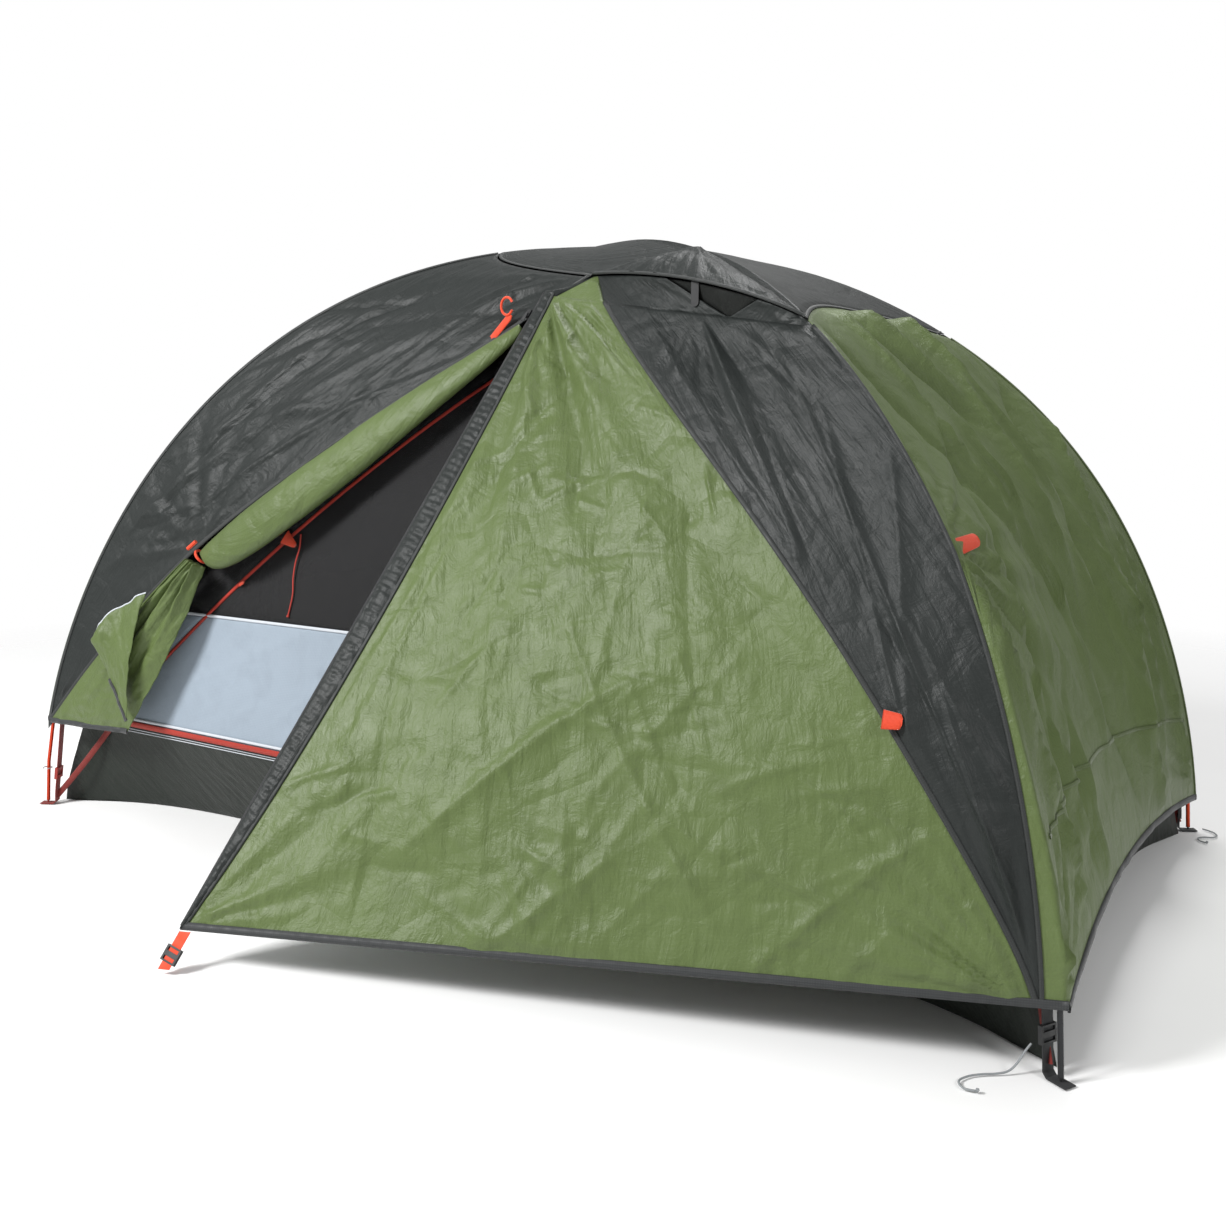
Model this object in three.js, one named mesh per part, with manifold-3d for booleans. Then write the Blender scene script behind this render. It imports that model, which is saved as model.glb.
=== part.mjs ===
// Two-person dome tent on two crossing poles, pitched, with one half of its front door rolled up.
// Units are millimetres. +X runs along the tent, -Y is the side with the door, +Z is up.
// The origin is the middle of the floor, on the ground. Corners: A front left, B front right,
// C back right, D back left. Pole 1 runs from A to C and pole 2 from B to D, under pole 1.
import * as THREE from 'three';
import { mergeVertices } from 'three/addons/utils/BufferGeometryUtils.js';
import Module from 'manifold-3d';

// ---------- driving dimensions ----------
const FOOT_LENGTH = 2200; // between the pole feet, along X
const FOOT_WIDTH = 1200; // between the pole feet, along Y
const HEIGHT = 1200; // fly at its peak
const ARCH_SHOULDER = 2.27; // the arch is height * (1 - t^shoulder)^(1 / crown)
const ARCH_CROWN = 1.68;
const CLOTH = 1.6; // thickness of every cloth panel here
const SEAM_GAP = 1.2; // room between neighbouring panels, each side of a seam
const FLY_SAG = 22; // how far the fly pulls in between two poles

const POLE_RADIUS = 4.25;
const POLE_BORE = 3.75;
const SPIGOT_RADIUS = 3.55;
const SPIGOT_BORE = 2.5;
const POLE_SECTIONS = 7;
const STEPS_PER_SECTION = 6;
const POLE_SIDES = 6;
const POLE_INSET = 15.5; // pole centre line under the fly, which meets in a ridge over it
const POLE_CROSSING = 11; // pole 2 passes this far under pole 1 at the peak
const CORD_RADIUS = 1.3;
const TIP_HEIGHT = 8; // pole tips stand this far above the ground, on the corner straps

const INNER = { halfLength: 1045, halfWidth: 540, height: 1140 };
const FLOOR_PULL_IN = 112; // the floor's long edges curve in by this much
const TUB_HEIGHT = 200;
const TUB_WALL = 2.4; // room its wall takes, measured level
const FLOOR_CORE = 0.02; // size of the floor's middle as a share of the whole
const INNER_SAG = 14; // how far the inner walls pull in above the tub
const BAND_TOP = 450;
const DOOR_PEAK = { x: 100, z: 1010 }; // top of the inner door

const ZIP_TOP = new THREE.Vector3(52, -250, 1098); // upper end of the fly's door zip
const ZIP_FOOT = new THREE.Vector3(-157, -989, 62); // where the zip meets the hem
const FLAP_WIDTH = 46; // storm flap over the zip
const HEM = { A: 196, B: 105, C: 72, D: 100 }; // height of the fly's hem at the corners
const HEM_RISE = 42; // how far the hem rises between two corners
const VENT_LEFT_T = 0.363; // vent mouth's left end, down the front
const VENT_LEFT_X = 127;
const VENT_RIGHT_T = 0.54; // vent mouth's right end, on pole 2
const VENT_RIDGE_T = 0.3; // upper end of the hood, on pole 2
const STRUT_LENGTH = 50;
const CAP_T = 0.5; // how far the roof cap comes down the poles
const CAP_LEFT_T = 0.148; // its front edge starts here on pole 1

const STRAP_WIDTH = 20;
const STRAP_THICKNESS = 1.5;

const COLOURS = {
  green: 0x6f8a4c, charcoal: 0x434849, floor: 0x3b433d, white: 0xb4bec8, mesh: 0x262727,
  orange: 0xe8532c, darkRed: 0x8c2b22, black: 0x1d1f20, steel: 0x9aa0a4, grey: 0x8b8f92,
};

// ---------- materials and nodes ----------
const tent = new THREE.Group();

function material(colour, roughness = 0.8, metalness = 0) {
  return new THREE.MeshStandardMaterial({ color: colour, roughness, metalness });
}

function add(name, geometry, colour, roughness, metalness, parent = tent) {
  const mesh = new THREE.Mesh(geometry, material(colour, roughness, metalness));
  mesh.name = name;
  parent.add(mesh);
  return mesh;
}

// ---------- closed solids from points ----------
function solid(points, triangles) {
  const geometry = new THREE.BufferGeometry();
  const numbers = points.flatMap((point) => point.toArray());
  geometry.setAttribute('position', new THREE.Float32BufferAttribute(numbers, 3));
  geometry.setIndex(facingOut(points, triangles).flat());
  geometry.computeVertexNormals();
  return geometry;
}

function facingOut(points, triangles) {
  const cross = new THREE.Vector3();
  let volume = 0;
  for (const [a, b, c] of triangles) volume += points[a].dot(cross.crossVectors(points[b], points[c]));
  return volume > 0 ? triangles : triangles.map(([a, b, c]) => [a, c, b]);
}

function vector(x, y, z) {
  return new THREE.Vector3(x, y, z);
}

function mix(a, b, f) {
  return a.clone().lerp(b, f);
}

const INSIDE = vector(0, 0, 300); // a point inside the tent, which says which way a panel faces

function outward(surface, u, v) {
  const step = 0.004;
  const alongU = surface(u + step, v).sub(surface(u - step, v));
  const alongV = surface(u, v + step).sub(surface(u, v - step));
  const normal = alongU.cross(alongV).normalize();
  if (normal.length() < 0.5) return vector(0, 0, 1);
  return normal.dot(surface(u, v).sub(INSIDE)) < 0 ? normal.negate() : normal;
}

// A thin closed panel. surface(u, v) is its outer face for u and v from 0 to 1.
function panel(surface, columns, rows, thickness = CLOTH) {
  const points = [];
  const count = (columns + 1) * (rows + 1);
  for (const layer of [0, 1]) {
    for (let j = 0; j <= rows; j += 1) {
      for (let i = 0; i <= columns; i += 1) {
        const [u, v] = [i / columns, j / rows];
        points.push(surface(u, v).addScaledVector(outward(surface, u, v), -layer * thickness));
      }
    }
  }
  const at = (i, j, layer) => layer * count + j * (columns + 1) + i;
  const triangles = [];
  for (let j = 0; j < rows; j += 1) {
    for (let i = 0; i < columns; i += 1) {
      for (const layer of [0, 1]) {
        const low = [at(i, j, layer), at(i + 1, j, layer)];
        quad(triangles, ...low, at(i + 1, j + 1, layer), at(i, j + 1, layer), layer);
      }
    }
  }
  const rim = [];
  for (let i = 0; i < columns; i += 1) rim.push([i, 0]);
  for (let j = 0; j < rows; j += 1) rim.push([columns, j]);
  for (let i = columns; i > 0; i -= 1) rim.push([i, rows]);
  for (let j = rows; j > 0; j -= 1) rim.push([0, j]);
  rim.forEach(([i, j], k) => {
    const [m, n] = rim[(k + 1) % rim.length];
    quad(triangles, at(i, j, 0), at(i, j, 1), at(m, n, 1), at(m, n, 0), 0);
  });
  return solid(points, triangles);
}

function quad(triangles, a, b, c, d, flipped) {
  if (flipped) triangles.push([a, c, b], [a, d, c]);
  else triangles.push([a, b, c], [a, c, d]);
}

// Rings of equal length joined one to the next, closed at both ends by a flat fan.
function loft(rings) {
  const size = rings[0].length;
  const points = rings.flat();
  const triangles = [];
  for (let k = 0; k + 1 < rings.length; k += 1) {
    for (let i = 0; i < size; i += 1) {
      const j = (i + 1) % size;
      quad(triangles, k * size + i, k * size + j, (k + 1) * size + j, (k + 1) * size + i, 0);
    }
  }
  const last = (rings.length - 1) * size;
  for (let i = 1; i + 1 < size; i += 1) {
    triangles.push([0, i + 1, i]);
    triangles.push([last, last + i, last + i + 1]);
  }
  return solid(points, triangles);
}

// A thin wall that runs right round: rings of equal length up its outside and down its inside. Both
// faces are cut along the same diagonals, so that they stay apart where the wall twists.
function ringWall(rings) {
  const size = rings[0].length;
  const triangles = [];
  rings.forEach((_, k) => {
    const next = (k + 1) % rings.length;
    for (let i = 0; i < size; i += 1) {
      const j = (i + 1) % size;
      const corners = [k * size + i, k * size + j, next * size + j, next * size + i];
      if (2 * k >= rings.length) corners.push(corners.shift());
      quad(triangles, ...corners, 0);
    }
  });
  return solid(rings.flat(), triangles);
}

// A flat strap along a line of points. side is the direction of its width.
function strap(line, side, width = STRAP_WIDTH, thickness = STRAP_THICKNESS) {
  const across = side.clone().normalize();
  const rings = line.map((point, k) => {
    const along = line[Math.min(k + 1, line.length - 1)].clone().sub(line[Math.max(k - 1, 0)]);
    const face = along.cross(across).normalize();
    return [[-1, -1], [1, -1], [1, 1], [-1, 1]].map(([s, f]) => point.clone()
      .addScaledVector(across, s * width / 2)
      .addScaledVector(face, f * thickness / 2));
  });
  return loft(rings);
}

function tube(line, radius, sides = 8, steps = line.length * 2) {
  const path = new THREE.CatmullRomCurve3(line);
  const section = new THREE.Shape(Array.from({ length: sides }, (_, k) => {
    const turn = (k / sides) * 2 * Math.PI;
    return new THREE.Vector2(radius * Math.cos(turn), radius * Math.sin(turn));
  }));
  return new THREE.ExtrudeGeometry(section, { extrudePath: path, steps, bevelEnabled: false });
}

// ---------- booleans ----------
const wasm = await Module();
wasm.setup();

function toManifold(geometry) {
  const bare = geometry.clone();
  bare.deleteAttribute('normal');
  bare.deleteAttribute('uv');
  const merged = mergeVertices(bare, 1e-4);
  return new wasm.Manifold(new wasm.Mesh({
    numProp: 3,
    vertProperties: new Float32Array(merged.attributes.position.array),
    triVerts: new Uint32Array(merged.index.array),
  }));
}

function fromManifold(shape) {
  const mesh = shape.getMesh();
  const geometry = new THREE.BufferGeometry();
  geometry.setAttribute('position', new THREE.BufferAttribute(new Float32Array(mesh.vertProperties), 3));
  geometry.setIndex(Array.from(mesh.triVerts));
  geometry.computeVertexNormals();
  return geometry;
}

function cut(geometry, ...cutters) {
  const left = cutters.reduce((kept, cutter) => kept.subtract(toManifold(cutter)), toManifold(geometry));
  return fromManifold(left);
}

function block(width, depth, height, x = 0, y = 0, z = 0) {
  return new THREE.BoxGeometry(width, depth, height).translate(x, y, z);
}

// ---------- the arches and the cloth between them ----------
function archHeight(t, height = HEIGHT) {
  const rest = Math.max(1 - Math.abs(t) ** ARCH_SHOULDER, 0);
  return height * rest ** (1 / ARCH_CROWN);
}

function archT(z, height = HEIGHT) {
  return (1 - (z / height) ** ARCH_CROWN) ** (1 / ARCH_SHOULDER);
}

// The arch's length from its peak, as a share of the whole, for even rows of points.
const ARCH_SAMPLES = 600;
const archShares = [0];
const sampleT = (k) => Math.sin((Math.PI / 2) * (k / ARCH_SAMPLES));
for (let k = 1; k <= ARCH_SAMPLES; k += 1) {
  const run = (sampleT(k) - sampleT(k - 1)) * (FOOT_LENGTH + FOOT_WIDTH) * 0.3;
  const fall = archHeight(sampleT(k - 1)) - archHeight(sampleT(k));
  archShares.push(archShares[k - 1] + Math.hypot(run, fall));
}

function shareAt(t) {
  const place = (Math.asin(THREE.MathUtils.clamp(t, 0, 1)) / (Math.PI / 2)) * ARCH_SAMPLES;
  const k = Math.min(Math.floor(place), ARCH_SAMPLES - 1);
  return lerp(archShares[k], archShares[k + 1], place - k);
}

function atShare(share) {
  const wanted = THREE.MathUtils.clamp(share, 0, archShares.at(-1));
  const k = Math.max(1, archShares.findIndex((length) => length >= wanted));
  return sampleT(k - 1 + (wanted - archShares[k - 1]) / (archShares[k] - archShares[k - 1]));
}

function betweenT(from, to, f) {
  return atShare(lerp(shareAt(from), shareAt(to), f));
}

// A point of the cloth between two poles. side: 0 front, 1 right, 2 back, 3 left. q runs from
// -1 to 1 from one pole to the next, anticlockwise seen from above, and t from peak to ground.
const SIDES = [[[1, 0], [0, -1]], [[0, 1], [1, 0]], [[-1, 0], [0, 1]], [[0, -1], [-1, 0]]];
const FLY = { halfLength: FOOT_LENGTH / 2, halfWidth: FOOT_WIDTH / 2, height: HEIGHT };

// Pole 1 bows out on its way down to corner C, and takes the fly with it: how far at place t, and
// which share of that reaches place q of a side.
const BOW = 130; // before its fall to nothing at the peak and at the foot
const TOWARDS_C = vector(FOOT_LENGTH, FOOT_WIDTH, 0).normalize();

function bowOut(t) {
  const down = Math.max(t, 0);
  return BOW * down ** 2 * Math.max(1 - down ** 3, 0) ** 1.3;
}

function bowShare(side, q) {
  return [0, (1 + q) / 2, (1 - q) / 2, 0][side];
}

function gore(side, q, t, sag = FLY_SAG) {
  const [along, out] = SIDES[side];
  const lengthwise = side % 2 === 0;
  const halfSpan = lengthwise ? FLY.halfLength : FLY.halfWidth;
  const reach = lengthwise ? FLY.halfWidth : FLY.halfLength;
  const step = 0.01;
  const [low, high] = [Math.max(t - step, 0), Math.min(t + step, 1)];
  const drop = (archHeight(low) - archHeight(high)) / (high - low);
  const slope = Math.hypot(drop, reach);
  const pull = sag * Math.sqrt(Math.max(t, 0)) * Math.max(1 - q * q, 0);
  const outDistance = reach * t - (pull * drop) / slope;
  return vector(
    along[0] * q * halfSpan * t + out[0] * outDistance,
    along[1] * q * halfSpan * t + out[1] * outDistance,
    archHeight(t) - (pull * reach) / slope,
  ).addScaledVector(TOWARDS_C, bowShare(side, q) * bowOut(t));
}

function lerp(a, b, f) {
  return a + (b - a) * f;
}

// A patch of one gore between a left and a right edge, each given as v => [q, t].
function gorePatch(side, leftEdge, rightEdge) {
  return (u, v) => {
    const [leftQ, leftT] = leftEdge(v);
    const [rightQ, rightT] = rightEdge(v);
    return gore(side, lerp(leftQ, rightQ, u), betweenT(leftT, rightT, u));
  };
}

const CAP_GAP = 0.005; // room between the roof cap and the panels under it, as a share of t

// Hem of a gore: lower at its corners, and risen between them by HEM_RISE.
function hemT(leftHeight, rightHeight, q) {
  const rise = HEM_RISE * (1 - q * q);
  return archT(lerp(leftHeight, rightHeight, (q + 1) / 2) + rise);
}

function goreDownTo(side, topT, leftHem, rightHem, placeAt = (u) => lerp(-0.99, 0.99, u)) {
  return (u, v) => {
    const q = placeAt(u);
    return gore(side, q, betweenT(topT(q) + CAP_GAP, hemT(leftHem, rightHem, q), v));
  };
}

// Places across the left end panel, close together where the roof cap's edge steps up at pole 1.
const LEFT_END_PLACES = [-0.99, -0.66, -0.33, 0, 0.33, 0.66, 0.885, 0.966, 0.99];

// The place a share u of the way through a list, straight between its entries.
function alongList(list, u) {
  const spans = list.length - 1;
  const k = Math.min(Math.max(Math.floor(u * spans), 0), spans - 1);
  return lerp(list[k], list[k + 1], u * spans - k);
}

// Roof cap: its edge t for each side and place along it.
function capEdgeT(side, q) {
  const dip = 0.045 * (1 - q * q);
  if (side === 1) return VENT_RIGHT_T - 1.6 * dip;
  if (side === 3 && q > 0.92) return CAP_LEFT_T;
  if (side === 2 || side === 3) return CAP_T + 0.03 - dip;
  if (q > 0.95) return VENT_RIGHT_T;
  const ventQ = VENT_LEFT_X / (FLY.halfLength * VENT_LEFT_T);
  if (q < ventQ) return lerp(CAP_LEFT_T, VENT_LEFT_T, (q + 1) / (ventQ + 1));
  return lerp(VENT_LEFT_T, VENT_RIDGE_T, (q - ventQ) / (1 - ventQ));
}

function roofCap() {
  const ventQ = VENT_LEFT_X / (FLY.halfLength * VENT_LEFT_T);
  const columns = [
    ...[-1, -0.55, -0.1, ventQ, 0.65, 0.92, 0.975].map((q) => [0, q]),
    ...[1, 2, 3].flatMap((side) => [-1, -0.6, -0.2, 0.2, 0.6].map((q) => [side, q])),
    [3, 0.88],
    [3, 0.96],
  ];
  const rows = 4;
  const points = [vector(0, 0, HEIGHT), vector(0, 0, HEIGHT - CLOTH)];
  for (const [side, q] of columns) {
    const edge = capEdgeT(side, q) - CAP_GAP;
    const surface = (u, v) => gore(side, q + u - 0.5, edge * v);
    for (let k = 1; k <= rows; k += 1) {
      const top = surface(0.5, k / rows);
      points.push(top, top.clone().addScaledVector(outward(surface, 0.5, k / rows), -CLOTH));
    }
  }
  const at = (column, row, layer) => 2 + (column % columns.length) * 2 * rows + (row - 1) * 2 + layer;
  const triangles = [];
  columns.forEach((_, c) => {
    for (const layer of [0, 1]) {
      const fan = [layer, at(c, 1, layer), at(c + 1, 1, layer)];
      triangles.push(layer ? fan.reverse() : fan);
      for (let k = 1; k < rows; k += 1) {
        const near = [at(c, k, layer), at(c, k + 1, layer)];
        quad(triangles, ...near, at(c + 1, k + 1, layer), at(c + 1, k, layer), layer);
      }
    }
    quad(triangles, at(c, rows, 0), at(c, rows, 1), at(c + 1, rows, 1), at(c + 1, rows, 0), 0);
  });
  return solid(points, triangles);
}

// ---------- the vestibule ----------
function zipPoint(v) {
  return mix(ZIP_FOOT, ZIP_TOP, v);
}

// The stretched cloth between the zip and pole 2: u from the zip to the pole, v from hem to vent.
function vestibule(u, v) {
  const onPole = gore(0, 1, archT(lerp(HEM.B, archHeight(VENT_RIGHT_T), v)));
  return mix(zipPoint(v), onPole, u);
}

function vestibulePatch(leftU, rightU, lowV = 0, highV = 1) {
  return (u, v) => {
    const height = lerp(lowV, highV, v);
    return vestibule(lerp(leftU(height), rightU(height), u), height);
  };
}

function vestibuleWidth(v) {
  return vestibule(0, v).distanceTo(vestibule(1, v));
}

// The storm flap is narrower at both ends.
const flapU = (v) => (FLAP_WIDTH * (1 - 0.5 * v ** 4 - 0.9 * (1 - v) ** 5)) / vestibuleWidth(v);
// The seam between the green cloth and the dark strip beside pole 2.
const seamU = (v) => 1 - v * (0.45 + 0.32 * v ** 3) + 0.18 * v * v * (1 - v) - 0.03 * (1 - v) ** 10;
const wrapU = (v) => 0.997 - 0.022 * Math.max(0, 1 - v / 0.62) ** 0.7; // the end panel wraps the pole here
const gapU = (v) => SEAM_GAP / vestibuleWidth(v);

// ---------- the door seam on the left of the opening ----------
// Its place along the front, as x for each height, from the hem at corner A to the vent.
const doorSeam = new THREE.CatmullRomCurve3([
  vector(-1066, 0, HEM.A), vector(-909, 0, 364), vector(-651, 0, 601),
  vector(-294, 0, 845), vector(16, 0, 1040), vector(118, 0, 1126),
]);

function doorSeamEdge(v) {
  const { x, z } = doorSeam.getPoint(THREE.MathUtils.clamp(v, 0, 1));
  const t = archT(z);
  return [Math.min(x / (FLY.halfLength * t), 0.99), t];
}

// ---------- poles ----------
const poleStations = POLE_SECTIONS * STEPS_PER_SECTION;

// Centre line of a pole, as evenly spaced points. direction is +1 for pole 1 and -1 for pole 2.
function poleLine(direction, lowered) {
  const samples = 1200;
  const dense = [];
  for (let k = 0; k <= samples; k += 1) {
    const bend = -Math.cos((Math.PI * k) / samples);
    const t = Math.sign(bend) * (1 - (1 - Math.abs(bend)) ** 1.6);
    const bow = direction > 0 ? bowOut(t) : 0;
    const x = FLY.halfLength * t * (1 - POLE_INSET / 1253) + bow * TOWARDS_C.x;
    const z = archHeight(t, HEIGHT - POLE_INSET - lowered) * (1 - TIP_HEIGHT / HEIGHT) + TIP_HEIGHT;
    dense.push(vector(x, direction * x * (FOOT_WIDTH / FOOT_LENGTH), z));
  }
  const lengths = [0];
  for (let k = 1; k < dense.length; k += 1) {
    lengths.push(lengths[k - 1] + dense[k].distanceTo(dense[k - 1]));
  }
  const total = lengths.at(-1);
  return Array.from({ length: poleStations + 1 }, (_, station) => {
    const wanted = (total * station) / poleStations;
    const k = Math.max(1, lengths.findIndex((length) => length >= wanted - 1e-6));
    return mix(dense[k - 1], dense[k], (wanted - lengths[k - 1]) / (lengths[k] - lengths[k - 1]));
  });
}

// Bends a shape made along +Y so that its Y runs along the pole's line.
function bentAlong(line, geometry) {
  const step = line[0].distanceTo(line[1]);
  const flat = line.at(-1).clone().sub(line[0]).setZ(0).normalize();
  const sideways = vector(-flat.y, flat.x, 0);
  const frames = line.map((point, k) => {
    const along = line[Math.min(k + 1, line.length - 1)].clone().sub(line[Math.max(k - 1, 0)]).normalize();
    return along.cross(sideways).normalize().negate();
  });
  const position = geometry.attributes.position;
  for (let k = 0; k < position.count; k += 1) {
    const place = position.getY(k) / step;
    const station = Math.min(Math.max(Math.floor(place + 1e-6), 0), line.length - 2);
    const fraction = place - station;
    const up = mix(frames[station], frames[station + 1], fraction);
    const point = mix(line[station], line[station + 1], fraction)
      .addScaledVector(sideways, position.getX(k))
      .addScaledVector(up, position.getZ(k));
    position.setXYZ(k, point.x, point.y, point.z);
  }
  return closed(geometry);
}

function closed(geometry) {
  geometry.deleteAttribute('normal');
  geometry.deleteAttribute('uv');
  const merged = mergeVertices(geometry, 1e-3);
  const { array, count } = merged.attributes.position;
  const pointAt = (_, k) => vector(array[3 * k], array[3 * k + 1], array[3 * k + 2]);
  const points = Array.from({ length: count }, pointAt);
  const triangles = [];
  const index = merged.index.array;
  for (let k = 0; k < index.length; k += 3) {
    const corner = [index[k], index[k + 1], index[k + 2]];
    if (new Set(corner).size === 3) triangles.push(corner);
  }
  return solid(points, triangles);
}

// A turned shape: profile is a list of [radius, place along the pole].
function turned(profile, sides = POLE_SIDES) {
  return new THREE.LatheGeometry(profile.map(([radius, place]) => new THREE.Vector2(radius, place)), sides);
}

function stationsBetween(from, to, step) {
  const count = Math.round(Math.abs(to - from) / step);
  return Array.from({ length: count + 1 }, (_, k) => lerp(from, to, k / count));
}

// One tube of a pole, with a spigot glued in its far end except on the last.
function poleSection(line, number) {
  const step = line[0].distanceTo(line[1]);
  const start = number * STEPS_PER_SECTION * step + (number ? 0.3 : 0);
  const end = (number + 1) * STEPS_PER_SECTION * step;
  const inside = stationsBetween(end - step, number * STEPS_PER_SECTION * step + step, step);
  const profile = [[POLE_RADIUS, start]];
  for (let k = 1; k < STEPS_PER_SECTION; k += 1) {
    profile.push([POLE_RADIUS, (number * STEPS_PER_SECTION + k) * step]);
  }
  profile.push([POLE_RADIUS, end]);
  if (number < POLE_SECTIONS - 1) {
    profile.push([SPIGOT_RADIUS, end], [SPIGOT_RADIUS, end + step - 1], [SPIGOT_BORE, end + step - 1]);
    profile.push([SPIGOT_BORE, end], [SPIGOT_BORE, end - step]);
  } else {
    profile.push([POLE_BORE, end]);
  }
  inside.forEach((place) => profile.push([POLE_BORE, place]));
  profile.push([POLE_BORE, start], [POLE_RADIUS, start]);
  return bentAlong(line, turned(profile));
}

const TIP_PLUG = 34; // how far a tip reaches into its pole
const TIP_NOSE = 5.5;

// Solid tip in the end of a pole, with a narrow nose for the grommet.
function poleTip(line, atEnd) {
  const total = line[0].distanceTo(line[1]) * poleStations;
  const place = (distance) => (atEnd ? total - distance : distance);
  const outline = [
    [0, TIP_PLUG], [3.4, TIP_PLUG], [3.4, -0.3], [POLE_RADIUS, -0.3],
    [POLE_RADIUS, -1.2], [2, -2.4], [2, -TIP_NOSE], [0, -TIP_NOSE],
  ];
  const profile = outline.map(([radius, distance]) => [radius, place(distance)]);
  return bentAlong(line, turned(profile));
}

function shockCord(line) {
  const step = line[0].distanceTo(line[1]);
  const total = step * poleStations;
  const places = [TIP_PLUG + 0.5, ...stationsBetween(step, total - step, step), total - TIP_PLUG - 0.5];
  const profile = [[0, places[0]], ...places.map((place) => [CORD_RADIUS, place]), [0, places.at(-1)]];
  return bentAlong(line, turned(profile, 4));
}

const poleLines = { 1: poleLine(1, 0), 2: poleLine(-1, POLE_CROSSING) };

function addPoles() {
  for (const [pole, line] of Object.entries(poleLines)) {
    for (let k = 0; k < POLE_SECTIONS; k += 1) {
      const edge = k === 0 || k === POLE_SECTIONS - 1;
      const colour = pole === '1' && edge ? COLOURS.orange : COLOURS.black;
      add(`pole_${pole}_section_${k + 1}`, poleSection(line, k), colour, 0.35, 0.8);
    }
    add(`pole_${pole}_shock_cord`, shockCord(line), COLOURS.black, 0.9, 0);
  }
  add('pole_tip_a', poleTip(poleLines[1], false), COLOURS.darkRed, 0.5, 0);
  add('pole_tip_c', poleTip(poleLines[1], true), COLOURS.black, 0.5, 0);
  add('pole_tip_d', poleTip(poleLines[2], false), COLOURS.black, 0.5, 0);
  add('pole_tip_b', poleTip(poleLines[2], true), COLOURS.black, 0.5, 0);
}

// ---------- fly ----------
function addFly() {
  add('fly_roof_cap', roofCap(), COLOURS.charcoal);
  const frontLeft = gorePatch(
    0,
    (v) => [-1 + 0.004, betweenT(archT(HEM.A), CAP_LEFT_T + CAP_GAP, v)],
    (v) => {
      const [q, t] = doorSeamEdge(v);
      return [q - 0.003, t + CAP_GAP];
    },
  );
  add('fly_front_left', panel(frontLeft, 7, 16), COLOURS.charcoal);
  add('fly_vestibule', panel(
    vestibulePatch((v) => flapU(v) + gapU(v), (v) => seamU(v) - gapU(v), 0, 0.985),
    7,
    10,
  ), COLOURS.green);
  add('fly_storm_flap', panel(vestibulePatch(() => 0, flapU, 0.02, 0.985), 1, 8), COLOURS.charcoal);
  add('fly_front_right', panel(
    vestibulePatch((v) => seamU(v) + gapU(v), (v) => wrapU(v) - 2 * gapU(v), 0, 0.985),
    5,
    10,
  ), COLOURS.charcoal);
  add('fly_end_right', panel(endRight, 8, 14), COLOURS.green);
  const spans = LEFT_END_PLACES.length - 1;
  const leftEnd = goreDownTo(3, (q) => capEdgeT(3, q), HEM.D, HEM.A, (u) => alongList(LEFT_END_PLACES, u));
  add('fly_end_left', panel(leftEnd, spans, 14), COLOURS.green);
  add('fly_back', panel(goreDownTo(2, (q) => capEdgeT(2, q), HEM.C, HEM.D), 8, 14), COLOURS.charcoal);
  add('fly_vent_hood', panel(ventHood, 8, 3), COLOURS.charcoal);
}

// The end panel wraps round pole 2 onto the front, and ends at pole 1's far leg.
const WRAP_SHARE = 0.125; // the share of the panel's columns in front of the pole

function endRight(u, v) {
  const inFront = (part, height) => {
    const high = lerp(0.985, 0, height);
    return vestibule(lerp(wrapU(high) - gapU(high) * 0.2, 1, part), high);
  };
  if (u < WRAP_SHARE) return inFront(u / WRAP_SHARE, v);
  const q = lerp(-1, 1 - 0.004, (u - WRAP_SHARE) / (1 - WRAP_SHARE));
  const topT = capEdgeT(1, q) + CAP_GAP;
  return gore(1, q, betweenT(topT, hemT(HEM.B, HEM.C, q), v));
}

// ---------- vent hood and its strut ----------
const ventLeft = gore(0, VENT_LEFT_X / (FLY.halfLength * VENT_LEFT_T), VENT_LEFT_T);
const ventRight = gore(0, 1, VENT_RIGHT_T);
const ventRidge = gore(0, 1, VENT_RIDGE_T);
const strutFoot = gore(0, 0.69, 0.512).add(vector(0, -6, 6));
const ventBrow = strutFoot.clone().add(vector(4, -8, STRUT_LENGTH - 5));

// The hood: u along the vent's mouth, v from the line it is sewn on to its free edge.
function ventHood(u, v) {
  const sewn = u < 0.45 ? mix(ventLeft, ventRidge, u / 0.45) : mix(ventRidge, ventRight, (u - 0.45) / 0.55);
  const pull = 2 * u * (1 - u);
  const control = ventBrow.clone().multiplyScalar(2)
    .addScaledVector(ventLeft, -0.5)
    .addScaledVector(ventRight, -0.5);
  const free = ventLeft.clone().multiplyScalar((1 - u) ** 2)
    .addScaledVector(control, pull)
    .addScaledVector(ventRight, u ** 2);
  const lift = 8 + 10 * Math.sin(Math.PI * u) * Math.sin((Math.PI * v) / 2);
  return mix(sewn, free, lerp(0.08, 1, v)).add(vector(0, -0.5 * lift, 0.85 * lift));
}

const STRUT_CLEAR = 5; // room between the strut's foot and the cloth under it

// A flat blade, round at its foot, that stands on its hinge and props the hood.
function ventStrut() {
  const half = 7;
  const outline = new THREE.Shape();
  outline.absarc(0, half, half, Math.PI, 2 * Math.PI, false);
  outline.lineTo(half, STRUT_LENGTH - STRUT_CLEAR - 3);
  outline.lineTo(half - 3, STRUT_LENGTH - STRUT_CLEAR);
  outline.lineTo(-half + 3, STRUT_LENGTH - STRUT_CLEAR);
  outline.lineTo(-half, STRUT_LENGTH - STRUT_CLEAR - 3);
  outline.closePath();
  return new THREE.ExtrudeGeometry(outline, { depth: 2.4, bevelEnabled: false, curveSegments: 6 })
    .rotateX(Math.PI / 2).translate(0, 1.2, STRUT_CLEAR);
}

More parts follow.
